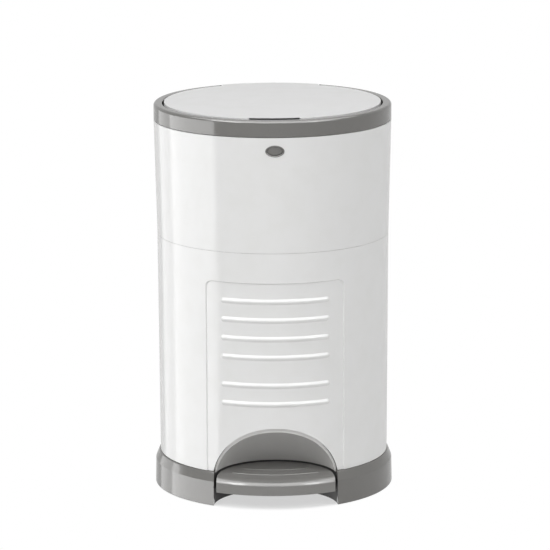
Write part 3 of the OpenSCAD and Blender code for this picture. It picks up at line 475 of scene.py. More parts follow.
# %% [markdown]
# ### White shells
# The body is glossy white ABS. A polished mould still leaves a very faint swell in the
# skin, which makes the reflection of a lamp waver slightly, and handling leaves patches
# that are a little duller. The lid is the same plastic from a softer-looking mould.

# %% White shells
def white_plastic(name, colour, warm, rough, swell):
    finish = Finish(name, IOR=1.5)
    swells = finish.grain(70, 1.0)
    handling = finish.grain(26, 4.0)
    pores = finish.grain(1.1, 2.0)
    dull = rough + handling.between(0.4, 0.8) * 0.05 + pores * 0.02
    return finish.skin(handling.between(0.35, 0.75), (colour, warm), dull, swells * swell + pores * 0.004, 1.0)


shell_white = white_plastic("glossy white shell", tone(0.80, 0.80, 0.795), tone(0.785, 0.785, 0.775), 0.13, 0.10)
lid_white = white_plastic("soft gloss white lid", tone(0.78), tone(0.765, 0.765, 0.76), 0.34, 0.06)
print("shells:", shell_white.name, "/", lid_white.name)

# %% [markdown]
# ### Satin grey trim
# The base, pedal and collar are a warm grey from an eroded mould: a fine, even texture
# of shallow pits, about half a millimetre across. Between the pits the plastic
# is a little shinier, and the colour of the pits is a touch darker.

# %% Satin grey trim
def satin_plastic(name, light, dark, rough, pit=0.45, depth=0.02, index=1.48):
    finish = Finish(name, IOR=index)
    pits = finish.grain(pit, 3.0, roughness=0.6)
    clouds = finish.grain(34, 3.0)
    dull = rough + (1 - pits.between(0.3, 0.6)) * 0.07 + clouds * 0.04
    return finish.skin(pits.between(0.35, 0.65) * 0.6 + clouds * 0.4, (dark, light), dull, pits + clouds * 0.3, depth)


trim_grey = satin_plastic("satin warm grey", tone(0.180, 0.176, 0.166), tone(0.150, 0.147, 0.139), 0.07,
                          depth=0.004, index=1.63)
recess_grey = satin_plastic("satin recess grey", tone(0.70, 0.693, 0.68), tone(0.66, 0.653, 0.64), 0.3)
pedal_grey = satin_plastic("satin pedal grey", tone(0.235, 0.232, 0.222), tone(0.205, 0.202, 0.193), 0.09,
                           depth=0.004, index=1.58)
# Painted shade: the pedal bay's wall is the base's grey painted nearly black, for the deep shadow under the pedal.
bay_painted_shade = satin_plastic("bay wall painted shade", tone(0.05, 0.049, 0.047), tone(0.04, 0.039, 0.037), 0.55)
hidden_grey = satin_plastic("plain grey moulding", tone(0.20, 0.20, 0.195), tone(0.17, 0.17, 0.165), 0.42, 0.8, 0.03)
inner_white = satin_plastic("plain white moulding", tone(0.72, 0.72, 0.71), tone(0.68, 0.68, 0.665), 0.38, 0.9, 0.03)
tray_grey = satin_plastic("thin moulded tray", tone(0.52, 0.54, 0.57), tone(0.47, 0.49, 0.52), 0.3, 1.4, 0.03)
print("grey and inner mouldings ready")

# %% [markdown]
# ### Rubber, film and steel
# Rubber is dark, dull and slightly dusty. The film is thin polythene with a blue tint:
# its wrinkles give it long soft highlights. Plated steel shows fine drawn lines along
# the length of pins and rods, and the pedal's lever has a black dipped coat whose
# orange-peel surface is only visible close up.

# %% Rubber
def rubber(name, colour, dusty):
    finish = Finish(name, IOR=1.5)
    dust = finish.grain(9, 5.0)
    return finish.skin(dust.between(0.5, 0.8), (colour, dusty), 0.62 + dust * 0.25, finish.grain(0.8, 2.0), 0.04)


foot_rubber = rubber("moulded foot rubber", tone(0.018), tone(0.045, 0.044, 0.042))
seal_rubber = rubber("soft seal rubber", tone(0.13), tone(0.17, 0.17, 0.165))
# Painted shade: a near-black strip for the back of the finger notch, standing for the shade in that slot.
notch_painted_shade = rubber("painted notch shade", tone(0.006), tone(0.010))
print("rubber:", foot_rubber.name, "/", seal_rubber.name)

# %% Film
gathered = Finish("gathered film", IOR=1.52)
creases = gathered.grain(6, 5.0, 0.6, (1, 1, 0.25))
film = gathered.skin(creases, (tone(0.42, 0.56, 0.66), tone(0.62, 0.72, 0.79)), 0.18 + creases * 0.2, creases, 0.8)
print("film:", film.name)

# %% Steel
def steel(name, colour, dark, rough, stretch):
    finish = Finish(name, Metallic=1.0)
    lines = finish.grain(1.2, 3.0, stretch=stretch)
    spots = finish.grain(7, 4.0)
    dull = rough + lines * 0.16 + spots * 0.06
    return finish.skin(spots.between(0.45, 0.8) * 0.6 + lines * 0.4, (colour, dark), dull, lines, 0.01)


plated_steel = steel("plated steel", tone(0.62, 0.62, 0.61), tone(0.50, 0.50, 0.49), 0.22, (1, 1, 1))
rod_steel = steel("drawn rod steel", tone(0.60), tone(0.48, 0.48, 0.47), 0.24, (4, 4, 0.08))
spring_steel = steel("spring wire", tone(0.52, 0.52, 0.53), tone(0.40, 0.40, 0.41), 0.28, (2, 2, 2))
print("steel finishes ready")

# %% Coated lever
coat = Finish("black coated lever", IOR=1.5)
scuffs = coat.grain(14, 5.0, roughness=0.65)
coated_steel = coat.skin(scuffs.between(0.62, 0.75), (tone(0.022), tone(0.075, 0.073, 0.07)), 0.34 + scuffs * 0.2,
                         coat.grain(2.2, 2.0), 0.05)
print("lever:", coated_steel.name)

# %% [markdown]
# ## The front door
# The lower front of the bin is one curved door, with a panel sunk 1.6 mm into it and
# six rounded ribs across the panel. A cut-and-join solid would give the ribs hard feet.
# Here the skin is a height field instead: each point of the net is moved in or out by
# what the panel and the ribs say there, so walls and feet blend as they do in a mould.
# The net is fine only where the surface bends.

# %% Shape of the door's skin
hinge_edge, free_edge = 104.88, 88.88
panel_half, panel_top, panel_corner, panel_depth = 84.8, 284.5, 8.0, 1.6
rib_half, rib_r, rib_out, rib_round = 64.2, 3.5, 2.1, 1.35
rib_top, rib_pitch, rib_break = 261.5, 23.45, 35.2
rib_heights = [rib_top - rib_pitch * i for i in range(4)]
rib_heights += [rib_heights[-1] - rib_break - rib_pitch * i for i in range(2)]


def ease(t):
    t = min(1.0, max(0.0, t))
    return t * t * (3 - 2 * t)


def panel_inset(angle, z, width=0.9):
    """How far the sunk panel lies behind the body's skin here."""
    if abs(angle) > 90:
        return 0.0
    x = abs(body_r(z) * sin(radians(angle)))
    dx, dz = x - (panel_half - panel_corner), z - (panel_top - panel_corner)
    off = hypot(max(dx, 0), max(dz, 0)) + min(0, max(dx, dz)) - panel_corner
    return panel_depth * ease(0.5 - off / width)


def rib_rise(angle, z):
    """How far a rib stands out of the panel here."""
    r = body_r(z)
    side = max(0.0, r * radians(abs(angle)) - r * asin(rib_half / r))
    off = min(hypot(side, z - rib_z) for rib_z in rib_heights) / rib_r
    return rib_out * (1 - off * off) ** rib_round if off < 1 else 0.0


def door_outer(angle, z):
    return body_r(z) - panel_inset(angle, z) + rib_rise(angle, z)


def door_inner(angle, z):
    return body_r(z) - wall - panel_inset(angle, z, 5.0)


print("ribs at", [round(z, 1) for z in rib_heights])

# %% [markdown]
# The arch over the pedal is where an egg-shaped dome meets the round body. Its edge is
# found by walking up the dome: at each height the dome's circle crosses the body's
# circle at one point. The same walk on the inner skin gives the inside of the edge.

# %% The arch in the door
recess_y, arch_foot, arch_reach, arch_rise, arch_play = 135.0, 26.0, 80.0, 75.8, 0.5


def meeting(other):
    """For each radius about one axis, bin or recess, the angle off the line between the
    axes at which the circle meets one of radius `other` about the other axis."""
    def angle(r):
        share = (r * r - other * other + recess_y ** 2) / (2 * recess_y * r)
        return degrees(acos(max(-1.0, min(1.0, share))))
    return angle


def arch_edge(t, inset):
    """The arch as (angle, height), t from -1 at its left foot to 1 at its right foot."""
    reach, rise = arch_reach + arch_play, arch_rise + arch_play
    first = asin((door_low - arch_foot) / rise)
    last = acos((waist_r - inset + 0.6 - recess_y) / reach)
    a = first + (last - first) * (1 - abs(t))
    z = arch_foot + rise * sin(a)
    angle = meeting(reach * cos(a))(body_r(z) - inset)
    return (copysign(angle, t) if abs(t) > 1e-6 else 0.0, z)


print("arch top", arch_edge(0, panel_depth), "foot", arch_edge(1, panel_depth))

# %% Build the door
knuckles, knuckle, knuckle_way = (85, 272), 9.7, 20.3
barrel = circle(*spot(-105, 145), 3.2, 32)
patch_angle, patch_top = 33.5, 112.0
slot_end, step, panel_r, fade = -hinge_edge + 1.46, 1.5, 144.2, 0.8
side_angle, rib_angle = aside(panel_half, panel_r), aside(rib_half, panel_r)
fine_angles = ((side_angle, -3.6, -0.3, 0.2), (side_angle, -0.3, 0.4, 0.06), (rib_angle, -0.4, 1.6, 0.22))
door_angles = merged(
    evenly(step, -hinge_edge, -patch_angle, patch_angle, free_edge), [slot_end],
    *[evenly(size, s * (near + a), s * (near + b)) for near, a, b, size in fine_angles for s in (-1, 1)])
door_heights = merged(
    evenly(5, door_low, patch_top), evenly(6, patch_top, door_top),
    [k + d for k in knuckles for d in (-knuckle_way, -knuckle, knuckle, knuckle_way)],
    evenly(0.5, panel_top - 9, panel_top - fade), evenly(0.15, panel_top - fade, panel_top + fade),
    *[evenly(0.39, z - 3.9, z + 3.9) for z in rib_heights])


def door_gap(angle, z):
    if abs(angle) < patch_angle and z < patch_top:
        return True
    return angle < slot_end and any(knuckle < abs(z - k) < knuckle_way for k in knuckles)


door_wall = Wall(door_outer, door_inner)
door_wall.net(door_angles, door_heights, door_gap)
rows, columns = within(door_heights, door_low, patch_top), within(door_angles, -patch_angle, patch_angle)
border = [(-patch_angle, z) for z in rows] + [(a, patch_top) for a in columns[1:-1]]
border += [(patch_angle, z) for z in reversed(rows)]
walk = [0.0]
for (a0, z0), (a1, z1) in zip(border, border[1:]):
    walk.append(walk[-1] + hypot((a1 - a0) * 2.5, z1 - z0))    # a degree is 2.5 mm of skin
shares = [2 * w / walk[-1] - 1 for w in walk]
door_wall.fan([(arch_edge(t, panel_depth), arch_edge(t, panel_depth + wall)) for t in shares], border, rows=14)
door = door_wall.into(Moulding())
for z in knuckles:
    door.post(barrel, z - knuckle, z + knuckle)
flange_r = 137.0
flange = oblong(flange_r, body_r(300) - 1, door_top - wall, door_top)
door.ring(rounded([(r, z, 0.3 if r == flange_r else 0) for r, z in flange]), -99, 87, 120)
moulded("front_door_skin", door, "door", ["front_door"], shell_white, 0.22, 50)

# %% [markdown]
# ## The rear shell
# Behind the door the same wall carries on as a plain half shell. Only the hinge barrels
# and the screw posts inside break it up, so a coarse net is enough, with notches where
# the door's barrels turn.

# %% Build the rear shell
rear_gap, notch, barrel_h, post_r, post_h = 0.24, 1.4, 10, 133, 24
rear_start, rear_end = free_edge + rear_gap, 360 - hinge_edge - rear_gap
rear_angles = merged(evenly(step, rear_start, rear_end), [rear_end - notch])
rear_heights = merged(evenly(20, door_low, door_top), [k + d for k in knuckles for d in (-barrel_h, barrel_h)])
rear_wall = Wall()
rear_wall.net(rear_angles, rear_heights,
              lambda a, z: a > rear_end - notch and any(abs(z - k) < barrel_h for k in knuckles))
rear = rear_wall.into(Moulding())
for z in knuckles:
    for low in (z - 2 * barrel_h, z + barrel_h):
        rear.post(barrel, low, low + barrel_h)
for turn in (125, 152, 235):
    for low in (door_low, door_top - post_h):
        rear.post(circle(*spot(turn, post_r), 5, 32), low, low + post_h)
        rear.ring(oblong(137, 142, low, low + post_h), turn - 0.5, turn + 0.5, 1)
moulded("rear_shell_skin", rear, "frame", ["rear_shell"], shell_white, 0.22, 50)

# %% [markdown]
# ## The upper housing
# Over the seam sits a full ring of the same white plastic. An oval hole in its front
# takes the release button. The net is opened into a fan around that oval, so that the
# skin beside the button reflects as evenly as anywhere else.

# %% Build the upper housing
button_z, button_r, oval_w, oval_h = 449.0, 147.5, 23.2, 14.2
hole_angles = (-9.0, 9.0)
hole_heights = (housing_low + 112.0, housing_top - 3.0)
house_angles = evenly(step, -180, *hole_angles, 180)
house_heights = evenly(14, housing_low, hole_heights[0]) + evenly(3, *hole_heights, housing_top)[1:]


def oval_edge(angle, z, inset):
    """The point of the hole's edge that lies towards a point of the net."""
    x, dz = button_r * sin(radians(angle)), z - button_z
    t = atan2(dz / oval_h, x / oval_w)
    z = button_z + oval_h / 2 * sin(t)
    return aside(oval_w / 2 * cos(t), body_r(z) - inset), z


house_wall = Wall()
house_wall.net(house_angles, house_heights,
               lambda a, z: hole_angles[0] < a < hole_angles[1] and hole_heights[0] < z < hole_heights[1])
across, upright = within(house_angles, *hole_angles), within(house_heights, *hole_heights)
border = [(a, upright[0]) for a in across] + [(across[-1], z) for z in upright[1:]]
border += [(a, upright[-1]) for a in reversed(across[:-1])] + [(across[0], z) for z in reversed(upright[1:-1])]
house_wall.fan([(oval_edge(a, z, 0), oval_edge(a, z, wall)) for a, z in border], border, rows=6, closed=True)
housing = house_wall.into(Moulding())
print("housing net:", len(house_wall.faces), "faces")

# %% [markdown]
# Inside the housing, one ring closes the seam and another carries the tray. Both leave
# a gap at the back for the push rod. Two swan-necked ears reach up under the lid's
# cover and hold the hinge pin.

# %% Rings and hinge ears of the housing
hinge_y, hinge_z, tray_z, rod_gap, ear_w = 137.5, housing_top + 12.3, 401.5, 9.5, 5


def side_cut(half):
    """Angles between which a ring runs, when a gap `half` wide each way is left at the back."""
    return (lambda r: aside(half, r) - 180), (lambda r: 180 - aside(half, r))


for outline in (oblong(124, 144, housing_low, housing_low + wall),
                [(122, tray_z - 3), (145, tray_z - 11), (145, tray_z), (122, tray_z)]):
    housing.ring(rounded([(*p, 0.4) for p in outline], 2), *side_cut(rod_gap), steps=120)
neck = [(-2, 1, 1), (-13, -0.5, 1.5), (-14, -17.3, 0), (-9.4, -17.3, 0), (-9.6, -8.6, 1.5),
        (-6.2, -5, 1), (-2, -3.6, 1)]
swan_neck = [(y + hinge_y, z + hinge_z) for y, z in rounded(neck)]
ear_foot = [(123.5, 435.5), (143.6, 435.5), (144.2, housing_top - 3), (123.5, housing_top - 3)]
for x in (22, -27):
    for outline in (swan_neck, circle(hinge_y, hinge_z, 4.4), ear_foot):
        housing.plate(outline, x, x + ear_w)
moulded("upper_housing_skin", housing, "frame", ["upper_housing"], shell_white, 0.22, 50)

# %% [markdown]
# ## The base
# The grey base is a skirt with a bevelled top, cut away in front for the pedal. The cut
# is a circle about the toe recess, so the ends of the skirt follow that circle: where a
# ring of radius r meets it gives the angle at which the skirt stops.

# %% Build the base
notch_r, deck_r, skirt_in, rod_y, rod_way = 77.2, 142, 141.4, 127.0, 8.5
skirt = rounded([
    (skirt_in, 1, 0.4), (base_r, 1, 0.8), (base_r - 0.7, 31.4, 1.6), (base_r - 4.9, 41.6, 1.2),
    (base_r - 5.6, base_h, 0.3), (skirt_in, base_h, 0)])
stop = meeting(notch_r)
base = Moulding().ring(skirt, stop, lambda r: 360 - stop(r), 168)


def about_recess(angle, r):
    """The (x, y) at radius r about the recess, `angle` degrees from its back."""
    return spot(180 - angle, r, -recess_y)


def recess_angle(x, y):
    return degrees(atan2(x, y + recess_y))


def recess_sides(limit):
    """Angles between which a ring about the recess stays within a radius of the bin."""
    keep = meeting(limit)
    return (lambda r: 180 - keep(r)), (lambda r: 180 + keep(r))


deck_edge = [spot(a, deck_r) for a in evenly(3, stop(deck_r), 179.99)]
deck_edge += [spot(180 - a, rod_way, rod_y) for a in evenly(8, 0.1, 359.9)]
deck_edge += [spot(a, deck_r) for a in evenly(3, 180.01, 360 - stop(deck_r))]
turn = recess_angle(*deck_edge[-1])
deck_edge += [about_recess(a, notch_r) for a in evenly(3, turn, -turn)[1:-1]]
base.post(deck_edge, base_h - 3, base_h)
# The bay wall behind the pedal takes that near-black painted shade, for the shadow it lies in.
bay = Moulding().ring(oblong(notch_r, notch_r + 3, 1, base_h - 0.2), *recess_sides(limit=144), 80, -recess_y)
moulded("pedal_bay_wall", bay, "frame", ["base"], bay_painted_shade, 0.3, 42)
for start, end in ((-86, lambda r: -stop(r)), (stop, 84)):
    base.ring(oblong(133.6, 136, base_h - 0.4, base_h + 6), start, end, 40)
print("base so far:", len(base.faces), "faces")

# %% [markdown]
# Underneath, ribs stiffen the deck, sockets hold the rubber feet and two ears carry the
# pedal's pivot pin. None of it shows from above, but the bin may be turned over.

# %% Underside of the base
for turn in (75, 105, 135, 225, 255, 285):
    (ux, uy), (sx, sy) = spot(turn, 1), spot(turn + 90, 1.2)
    base.post([(r * ux + s * sx, r * uy + s * sy) for r, s in oblong(64, deck_r, -1, 1)], 22, base_h - 1)
foot_r, socket_r, socket_in, slit = 126, 11, 9.05, 0.01
for turn in (40, 140, 220, 320):
    x, y = spot(turn, foot_r)
    socket = circle(x, y, socket_r) + [(x + socket_r, y), (x + socket_in, y)]
    socket += circle(x, y, socket_in)[::-1] + [(x + socket_in, y - slit), (x + socket_r, y - slit)]
    base.post(socket, 5, 9)
    base.post(circle(x, y, socket_r), 9, base_h - 1)
pivot_y, pivot_z, ear_r = -40, 16, 7
ear = [(pivot_y - ear_r, base_h - 1), (pivot_y + ear_r, base_h - 1)] + arc(pivot_y, pivot_z, ear_r, 0, -180, 16)
for x in (15, -20):
    base.plate(ear, x, x + ear_w)
moulded("base_skin", base, "frame", ["base"], trim_grey, 0.4, 42)

# %% [markdown]
# ## The toe recess
# A half dome behind the pedal makes room for the toes. It is a shell with an outer and
# an inner dome, cut off in front by the door's inner face. The cut leaves the smooth
# lip that shows inside the arch: thick over the crown and thinning towards the feet.

# %% Build the toe recess
recess_low, front_inset = 40.6, wall + panel_depth + 0.3
cut_rows, crown_rows, cols = 40, 4, 72
row = cols + 1


def dome_rows(reach, rise, limit=inf):
    """Circles of a dome as (radius, height): first up to where the front cut ends, then the crown."""
    first = asin((recess_low - arch_foot) / rise)
    middle = acos((waist_r + 0.5 - front_inset - recess_y) / reach)
    rises = evenly((middle - first) / cut_rows, first, middle)
    rises += evenly((pi / 2 - middle) / crown_rows, middle, pi / 2)[1:-1]
    return [(min(limit, reach * cos(a)), arch_foot + rise * sin(a)) for a in rises]


points, faces = [], []
for dome in (dome_rows(arch_reach, arch_rise, notch_r - 0.05), dome_rows(arch_reach - 2.5, arch_rise - 4.8)):
    for i, (r, z) in enumerate(dome):
        side = meeting(body_r(z) - front_inset)(r) if i < cut_rows else 180.0
        points += [(*about_recess(side * (2 * k / cols - 1), r), z) for k in range(row)]
count = len(points) // 2
for half, flip in ((0, 1), (count, -1)):
    faces += [[a + k, a + k + 1, a + row + k + 1, a + row + k][::flip]
              for a in range(half, half + count - row, row) for k in range(cols)]
    faces.append([half + count - row + k for k in range(cols)][::flip])
for a in (i * row + k for i in range(cut_rows) for k in (0, cols)):
    faces.append([a, a + row, count + a + row, count + a])
faces += [[k, k + 1, count + k + 1, count + k] for k in range(cols)]
recess = Moulding().add(points, faces)
recess.ring(oblong(notch_r - 0.5, notch_r + 5, base_h, base_h + 2.4), *recess_sides(limit=132.8), 80, -recess_y)
moulded("toe_recess_shell", recess, "frame", ["toe_recess"], recess_grey, 0.5, 42)

# %% [markdown]
# ## The collar
# The collar is a hollow ring with a rounded outer edge and a flat crest. At the back it
# stops on both sides of the lid's hinge cover, so its ends are cut square to X: the
# angle at which each radius ends is the one that puts it on that plane.

# %% Build the collar
collar_low, collar_top = housing_top + 0.6, housing_top + 20.8
opening_r, deck_top, crest_low, foot_low = 137.3, collar_low + 3.7, collar_top - 2.6, collar_low - 4.6
outer_path = [(top_r, collar_low, 0.5), (top_r, collar_top, 3.5), (opening_r, collar_top, 1.6),
              (opening_r, deck_top, 0)]
inner_path = [
    (opening_r + 2.4, deck_top, 0), (opening_r + 2.4, crest_low, 0.5), (top_r - 2.6, crest_low, 1),
    (top_r - 2.6, collar_low + 4.8, 0.3), (top_r - 5.6, collar_low + 3, 0.3), (top_r - 5.6, foot_low, 0.4),
    (top_r - 3.6, foot_low, 0.4), (top_r - 3.6, collar_low, 0)]
slot_half = 62.5
collar = Moulding().ring(rounded(outer_path + inner_path, 7), *side_cut(slot_half), steps=200)
end_face = rounded(outer_path + [(opening_r + 2.4, deck_top, 0), (opening_r + 2.4, collar_low, 0)], 7)
for s in (-1, 1):
    collar.ring(end_face, lambda r: 180 - s * aside(slot_half + 0.05, r),
                lambda r: 180 - s * aside(slot_half + 2.6, r), 1)
moulded("collar_ring", collar, "top_ring", ["collar"], trim_grey, 0.3, 60)

# %% [markdown]
# ## The lid
# From above the lid is a shallow crown with a finger notch in front and a square-ended
# cover over the hinge at the back. One net does it all. Its spokes bend so that the
# notch and the cover get straight sides, the edge of the net is drawn down as a rim,
# and a solidify modifier gives the sheet its thickness. Each edge carries its own
# rounding: a wide one over the hinge, a narrow one elsewhere.

# %% The lid's net
lid_r, lid_edge_z, lid_top_z, crown_h = 134.9, collar_top + 1.0, collar_top + 4.2, 3.2
crown_r = (lid_r ** 2 + crown_h ** 2) / (2 * crown_h)
notch_half, notch_in, tail_half = 31.0, 129.3, 61.5
rings = [12, 30, 50, 70, 88, 103, 115, 122, 126.6, notch_in, 132.9, lid_r, 138.0, 141.2, 144.0, top_r]
notch_cols, side_cols, tail_cols = 9, 32, 17
tail_start, half_spokes = notch_cols + side_cols, notch_cols + side_cols + tail_cols


def spoke_angle(k, r):
    """Angle of spoke k (0 in front, counted to one side) at a radius."""
    if k > tail_start:
        return 180 - aside(tail_half * (half_spokes - k) / tail_cols, max(r, lid_r))
    notch, tail = aside(notch_half, max(r, notch_in)), 180 - aside(tail_half, max(r, lid_r))
    if k <= notch_cols:
        return notch * k / notch_cols
    return notch + (tail - notch) * (k - notch_cols) / side_cols


def lid_height(r):
    if r <= lid_r:
        return lid_top_z - crown_r + sqrt(crown_r * crown_r - r * r)
    return lid_edge_z + (collar_top - lid_edge_z) * ease((r - lid_r) / (top_r - 3 - lid_r))


lid_net = bmesh.new()
middle = lid_net.verts.new((0, 0, lid_top_z * MM))
spokes = [(k, 1) for k in range(half_spokes + 1)] + [(k, -1) for k in range(half_spokes - 1, 0, -1)]
grid = [[lid_net.verts.new([c * MM for c in on_body(s * spoke_angle(k, r), lid_height(r), r)]) for r in rings]
        for k, s in spokes]
for (k, _), here, after, (next_k, _) in zip(spokes, grid, grid[1:] + grid[:1], spokes[1:] + spokes[:1]):
    near = min(k, next_k)
    cut_r = notch_in if near < notch_cols else lid_r if near < tail_start else top_r
    lid_net.faces.new((middle, here[0], after[0]))
    for j in range(len(rings) - 1):
        if rings[j] < cut_r:
            lid_net.faces.new((here[j], here[j + 1], after[j + 1], after[j]))
bmesh.ops.delete(lid_net, geom=[v for v in lid_net.verts if not v.link_faces], context="VERTS")
print("lid net:", len(lid_net.faces), "faces,", len(spokes), "spokes")

# %% Rim, thickness and rounding of the lid
rim_z, cover_z = lid_edge_z - 9.0, hinge_z + 3.0
widest, narrower, corner, slight = 1.0, 0.42, 0.2, 0.06
weight = lid_net.edges.layers.float.new("bevel_weight_edge")
edges = [e for e in lid_net.edges if e.is_boundary]
for e in edges:
    e[weight] = widest if all(v.co.to_2d().length > 143 * MM for v in e.verts) else narrower


def rim_height(point):
    over_hinge = point.y > 0 and abs(point.x) < (tail_half + 0.1) * MM and point.to_2d().length > (lid_r - 0.1) * MM
    return cover_z if over_hinge else rim_z


for e in draw_down(lid_net, edges, rim_height):
    e[weight] = slight
for e in lid_net.edges:
    if len(e.link_faces) == 2 and e[weight] == 0 and e.calc_face_angle(0) > 0.9:
        e[weight] = corner
lid = sheet("lid_skin", lid_net, 2.4)
round_off = lid.modifiers.new("edge rounding", "BEVEL")
round_off.width, round_off.segments, round_off.limit_method = 3.3 * MM, 5, "WEIGHT"
soften(lid, 0)
fit(lid, "lid_assembly", ["lid"], lid_white)

# %% [markdown]
# The finger notch is an undercut: a thin lip hides it from above, and fingers go in
# under the lip. Its back wall carries a near-black strip of painted shade, standing for
# the deep shade in the slot, so it reads as a black slot.

# %% Lip of the finger notch, and its strip of painted shade
lip_out, lip_in = 131.8, notch_in - 0.6


def in_notch(name, outline, play, finish):
    """A strip that runs across the notch, `play` short of each side."""
    half = notch_half - play
    strip = Moulding().ring(outline, lambda r: -aside(half, r), lambda r: aside(half, r), 40)
    moulded(name, strip, "lid_assembly", ["lid"], finish, 0.12, 50)


in_notch("finger_lip", [(lip_in, lid_height(lip_in)), (lip_out, lid_height(lip_out)),
                        (lip_out, lid_height(lip_out) - 0.35), (lip_in, lid_height(lip_in) - 1.6)],
         0.02, lid_white)
# Painted shade: a near-black strip on the notch's back wall, where the slot lies in shade.
in_notch("finger_notch_painted_shade", oblong(notch_in + 0.05, notch_in + 0.8, rim_z + 0.5, lid_edge_z - 1.3),
         0.8, notch_painted_shade)

# %% [markdown]
# ## The pedal
# Seen from above the pedal is a lens: its front is part of the bin's circle and its
# back part of the recess's circle. The tread is flat with two low grip ridges, and a
# wide soft chamfer leads down to the front face.

# %% Build the pedal
pedal_r, tread, pedal_low, pedal_back, pedal_cols = 73.7, 39.0, 18.6, 61.3, 64
pedal_stop = meeting(pedal_r)
profile = rounded([
    (pedal_back, tread, 0), (base_r - 20, tread, 60), (base_r - 6.5, tread - 2.0, 12), (base_r - 1.8, tread - 5.2, 5),
    (base_r, tread - 8.2, 3), (base_r, pedal_low, 0), (pedal_back, pedal_low, 0)], 5)
front_line = [p for p in profile if p[0] > 120]
flat_r = front_line[0][0]
far_side = recess_angle(*spot(pedal_stop(flat_r), flat_r))
pedal_net = bmesh.new()
lines = []
for s in (2 * k / pedal_cols - 1 for k in range(pedal_cols + 1)):
    front = Vector(on_body(s * pedal_stop(flat_r), tread, flat_r))
    back = Vector((*about_recess(s * far_side, pedal_r), tread))
    line = [back.lerp(front, i / 10) for i in range(10)]
    line += [Vector(on_body(s * pedal_stop(r), z, r)) for r, z in front_line]
    lines.append([pedal_net.verts.new(p * MM) for p in line])
for a, b in zip(lines, lines[1:]):
    for i in range(len(a) - 1):
        pedal_net.faces.new((a[i], a[i + 1], b[i + 1], b[i]))


def clean_pedal():
    """Joins the points that meet in the pedal's two corners."""
    join_twins(pedal_net)
    bmesh.ops.dissolve_degenerate(pedal_net, edges=pedal_net.edges, dist=0.001 * MM)


clean_pedal()
above = [e for e in pedal_net.edges if any(v.co.z > (pedal_low + 0.001) * MM for v in e.verts)]
draw_down(pedal_net, [e for e in above if e.is_boundary], lambda point: pedal_low)
clean_pedal()
pedal = sheet("pedal_skin", pedal_net, 2.6)
soften(pedal, 0.9, 40, 3)
fit(pedal, "pedal_assembly", ["pedal"], pedal_grey)

# %% Grip ridges, ribs and screw posts of the pedal
grips = Moulding()
for r, half in ((126, 25), (103, 24)):
    grips.ring(circle(r, tread - 0.25, 1.0, 16), -half, half, 60)
for x in (7, -9.4):
    grips.block((x, -137, 19.4), (x + 2.4, -64, tread - 2))
for y in (-122, -88):
    grips.post(circle(0, y, 4.5, 32), 19, tread - 2)
moulded("pedal_grips", grips, "pedal_assembly", ["pedal"], pedal_grey, 0.3, 50)

# %% [markdown]
# ## The release button
# The button is an oval dish in an oval ring. Both are lofted: a few oval rings, each
# with its own width, height and depth behind the body's skin, are joined into a
# surface. The ring's inner lip catches the light above the dish.

# %% Loft the button and its ring
def oval(w, h, depth, n=64):
    """An outline of a half width and half height, `depth` behind the body's skin."""
    points = []
    for t in (2 * pi * k / n for k in range(n)):
        x, z = w * cos(t), button_z + h * sin(t)
        points.append((x, -sqrt((body_r(z) - depth) ** 2 - x * x), z))
    return points


dish = [(9.5, 5.1, 3.4), (9.5, 5.1, 1.3), (9.3, 4.9, 1.0), (8.7, 4.3, 0.82), (7, 3.4, 0.66), (5, 2.4, 0.55),
        (2.5, 1.2, 0.47), (0.2, 0.1, 0.45)]
button, frame_back = Moulding().loft([oval(*size) for size in dish]), -133.7
for x in (6.9, -8.6):
    button.block((x, -body_r(button_z) + 2, button_z - 2), (x + 1.7, frame_back, button_z + 2))
button.block((-8.6, -135.9, button_z - 2), (8.6, frame_back, button_z + 2))
button.block((-3.4, -136.7, button_z - 1.8), (3.4, -135.7, button_z + 1.8))
moulded("release_button_dish", button, "button", ["release_button"], trim_grey, 0.2, 50)
ring_path = [(11.6, 7.1, 2.8), (11.6, 7.1, -0.2), (11.5, 7.0, -0.6), (11.25, 6.75, -0.88), (10.9, 6.4, -0.9),
             (10.4, 5.95, -0.7), (10.0, 5.55, -0.2), (9.8, 5.38, 0.5), (9.78, 5.36, 2.8)]
button_ring = Moulding().loft([oval(*size) for size in ring_path], closed=True)
moulded("button_ring", button_ring, "frame", ["button_bezel"], trim_grey, 0.2, 60)

# %% [markdown]
# Behind the button's frame a light coil spring pushes it back out. It is the one part
# that changes its length, so it is drawn anew, as a mesh of its own.

# %% Wind the button's spring
spring_back, coils, coil_r, wire_r, travel = -128.4, 3, 1.6, 0.25, 2.5
length, around, sides = spring_back - frame_back, 24 * coils, 10
wire = []
for i in range(around + 1):
    turn, y = 2 * pi * coils * i / around, frame_back + wire_r + (length - 2 * wire_r) * i / around
    section = [(coil_r + wire_r * cos(b), y + wire_r * sin(b))
               for b in (2 * pi * j / sides for j in range(sides))]
    wire.append([(r * cos(turn), y, button_z + r * sin(turn)) for r, y in section])
coil = moulded("button_coil", Moulding().loft(wire), "frame", ["button_spring"], spring_steel, 0, 80)
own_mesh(coil)
print("spring of", coils, "coils")

# %% [markdown]
# ## The film
# The refill is a long tube of film pushed together into a ring of soft folds. The folds
# run round the cassette, but they are never perfectly even, so each point of the ring
# is moved a little by smooth noise that changes round the ring and from fold to fold.

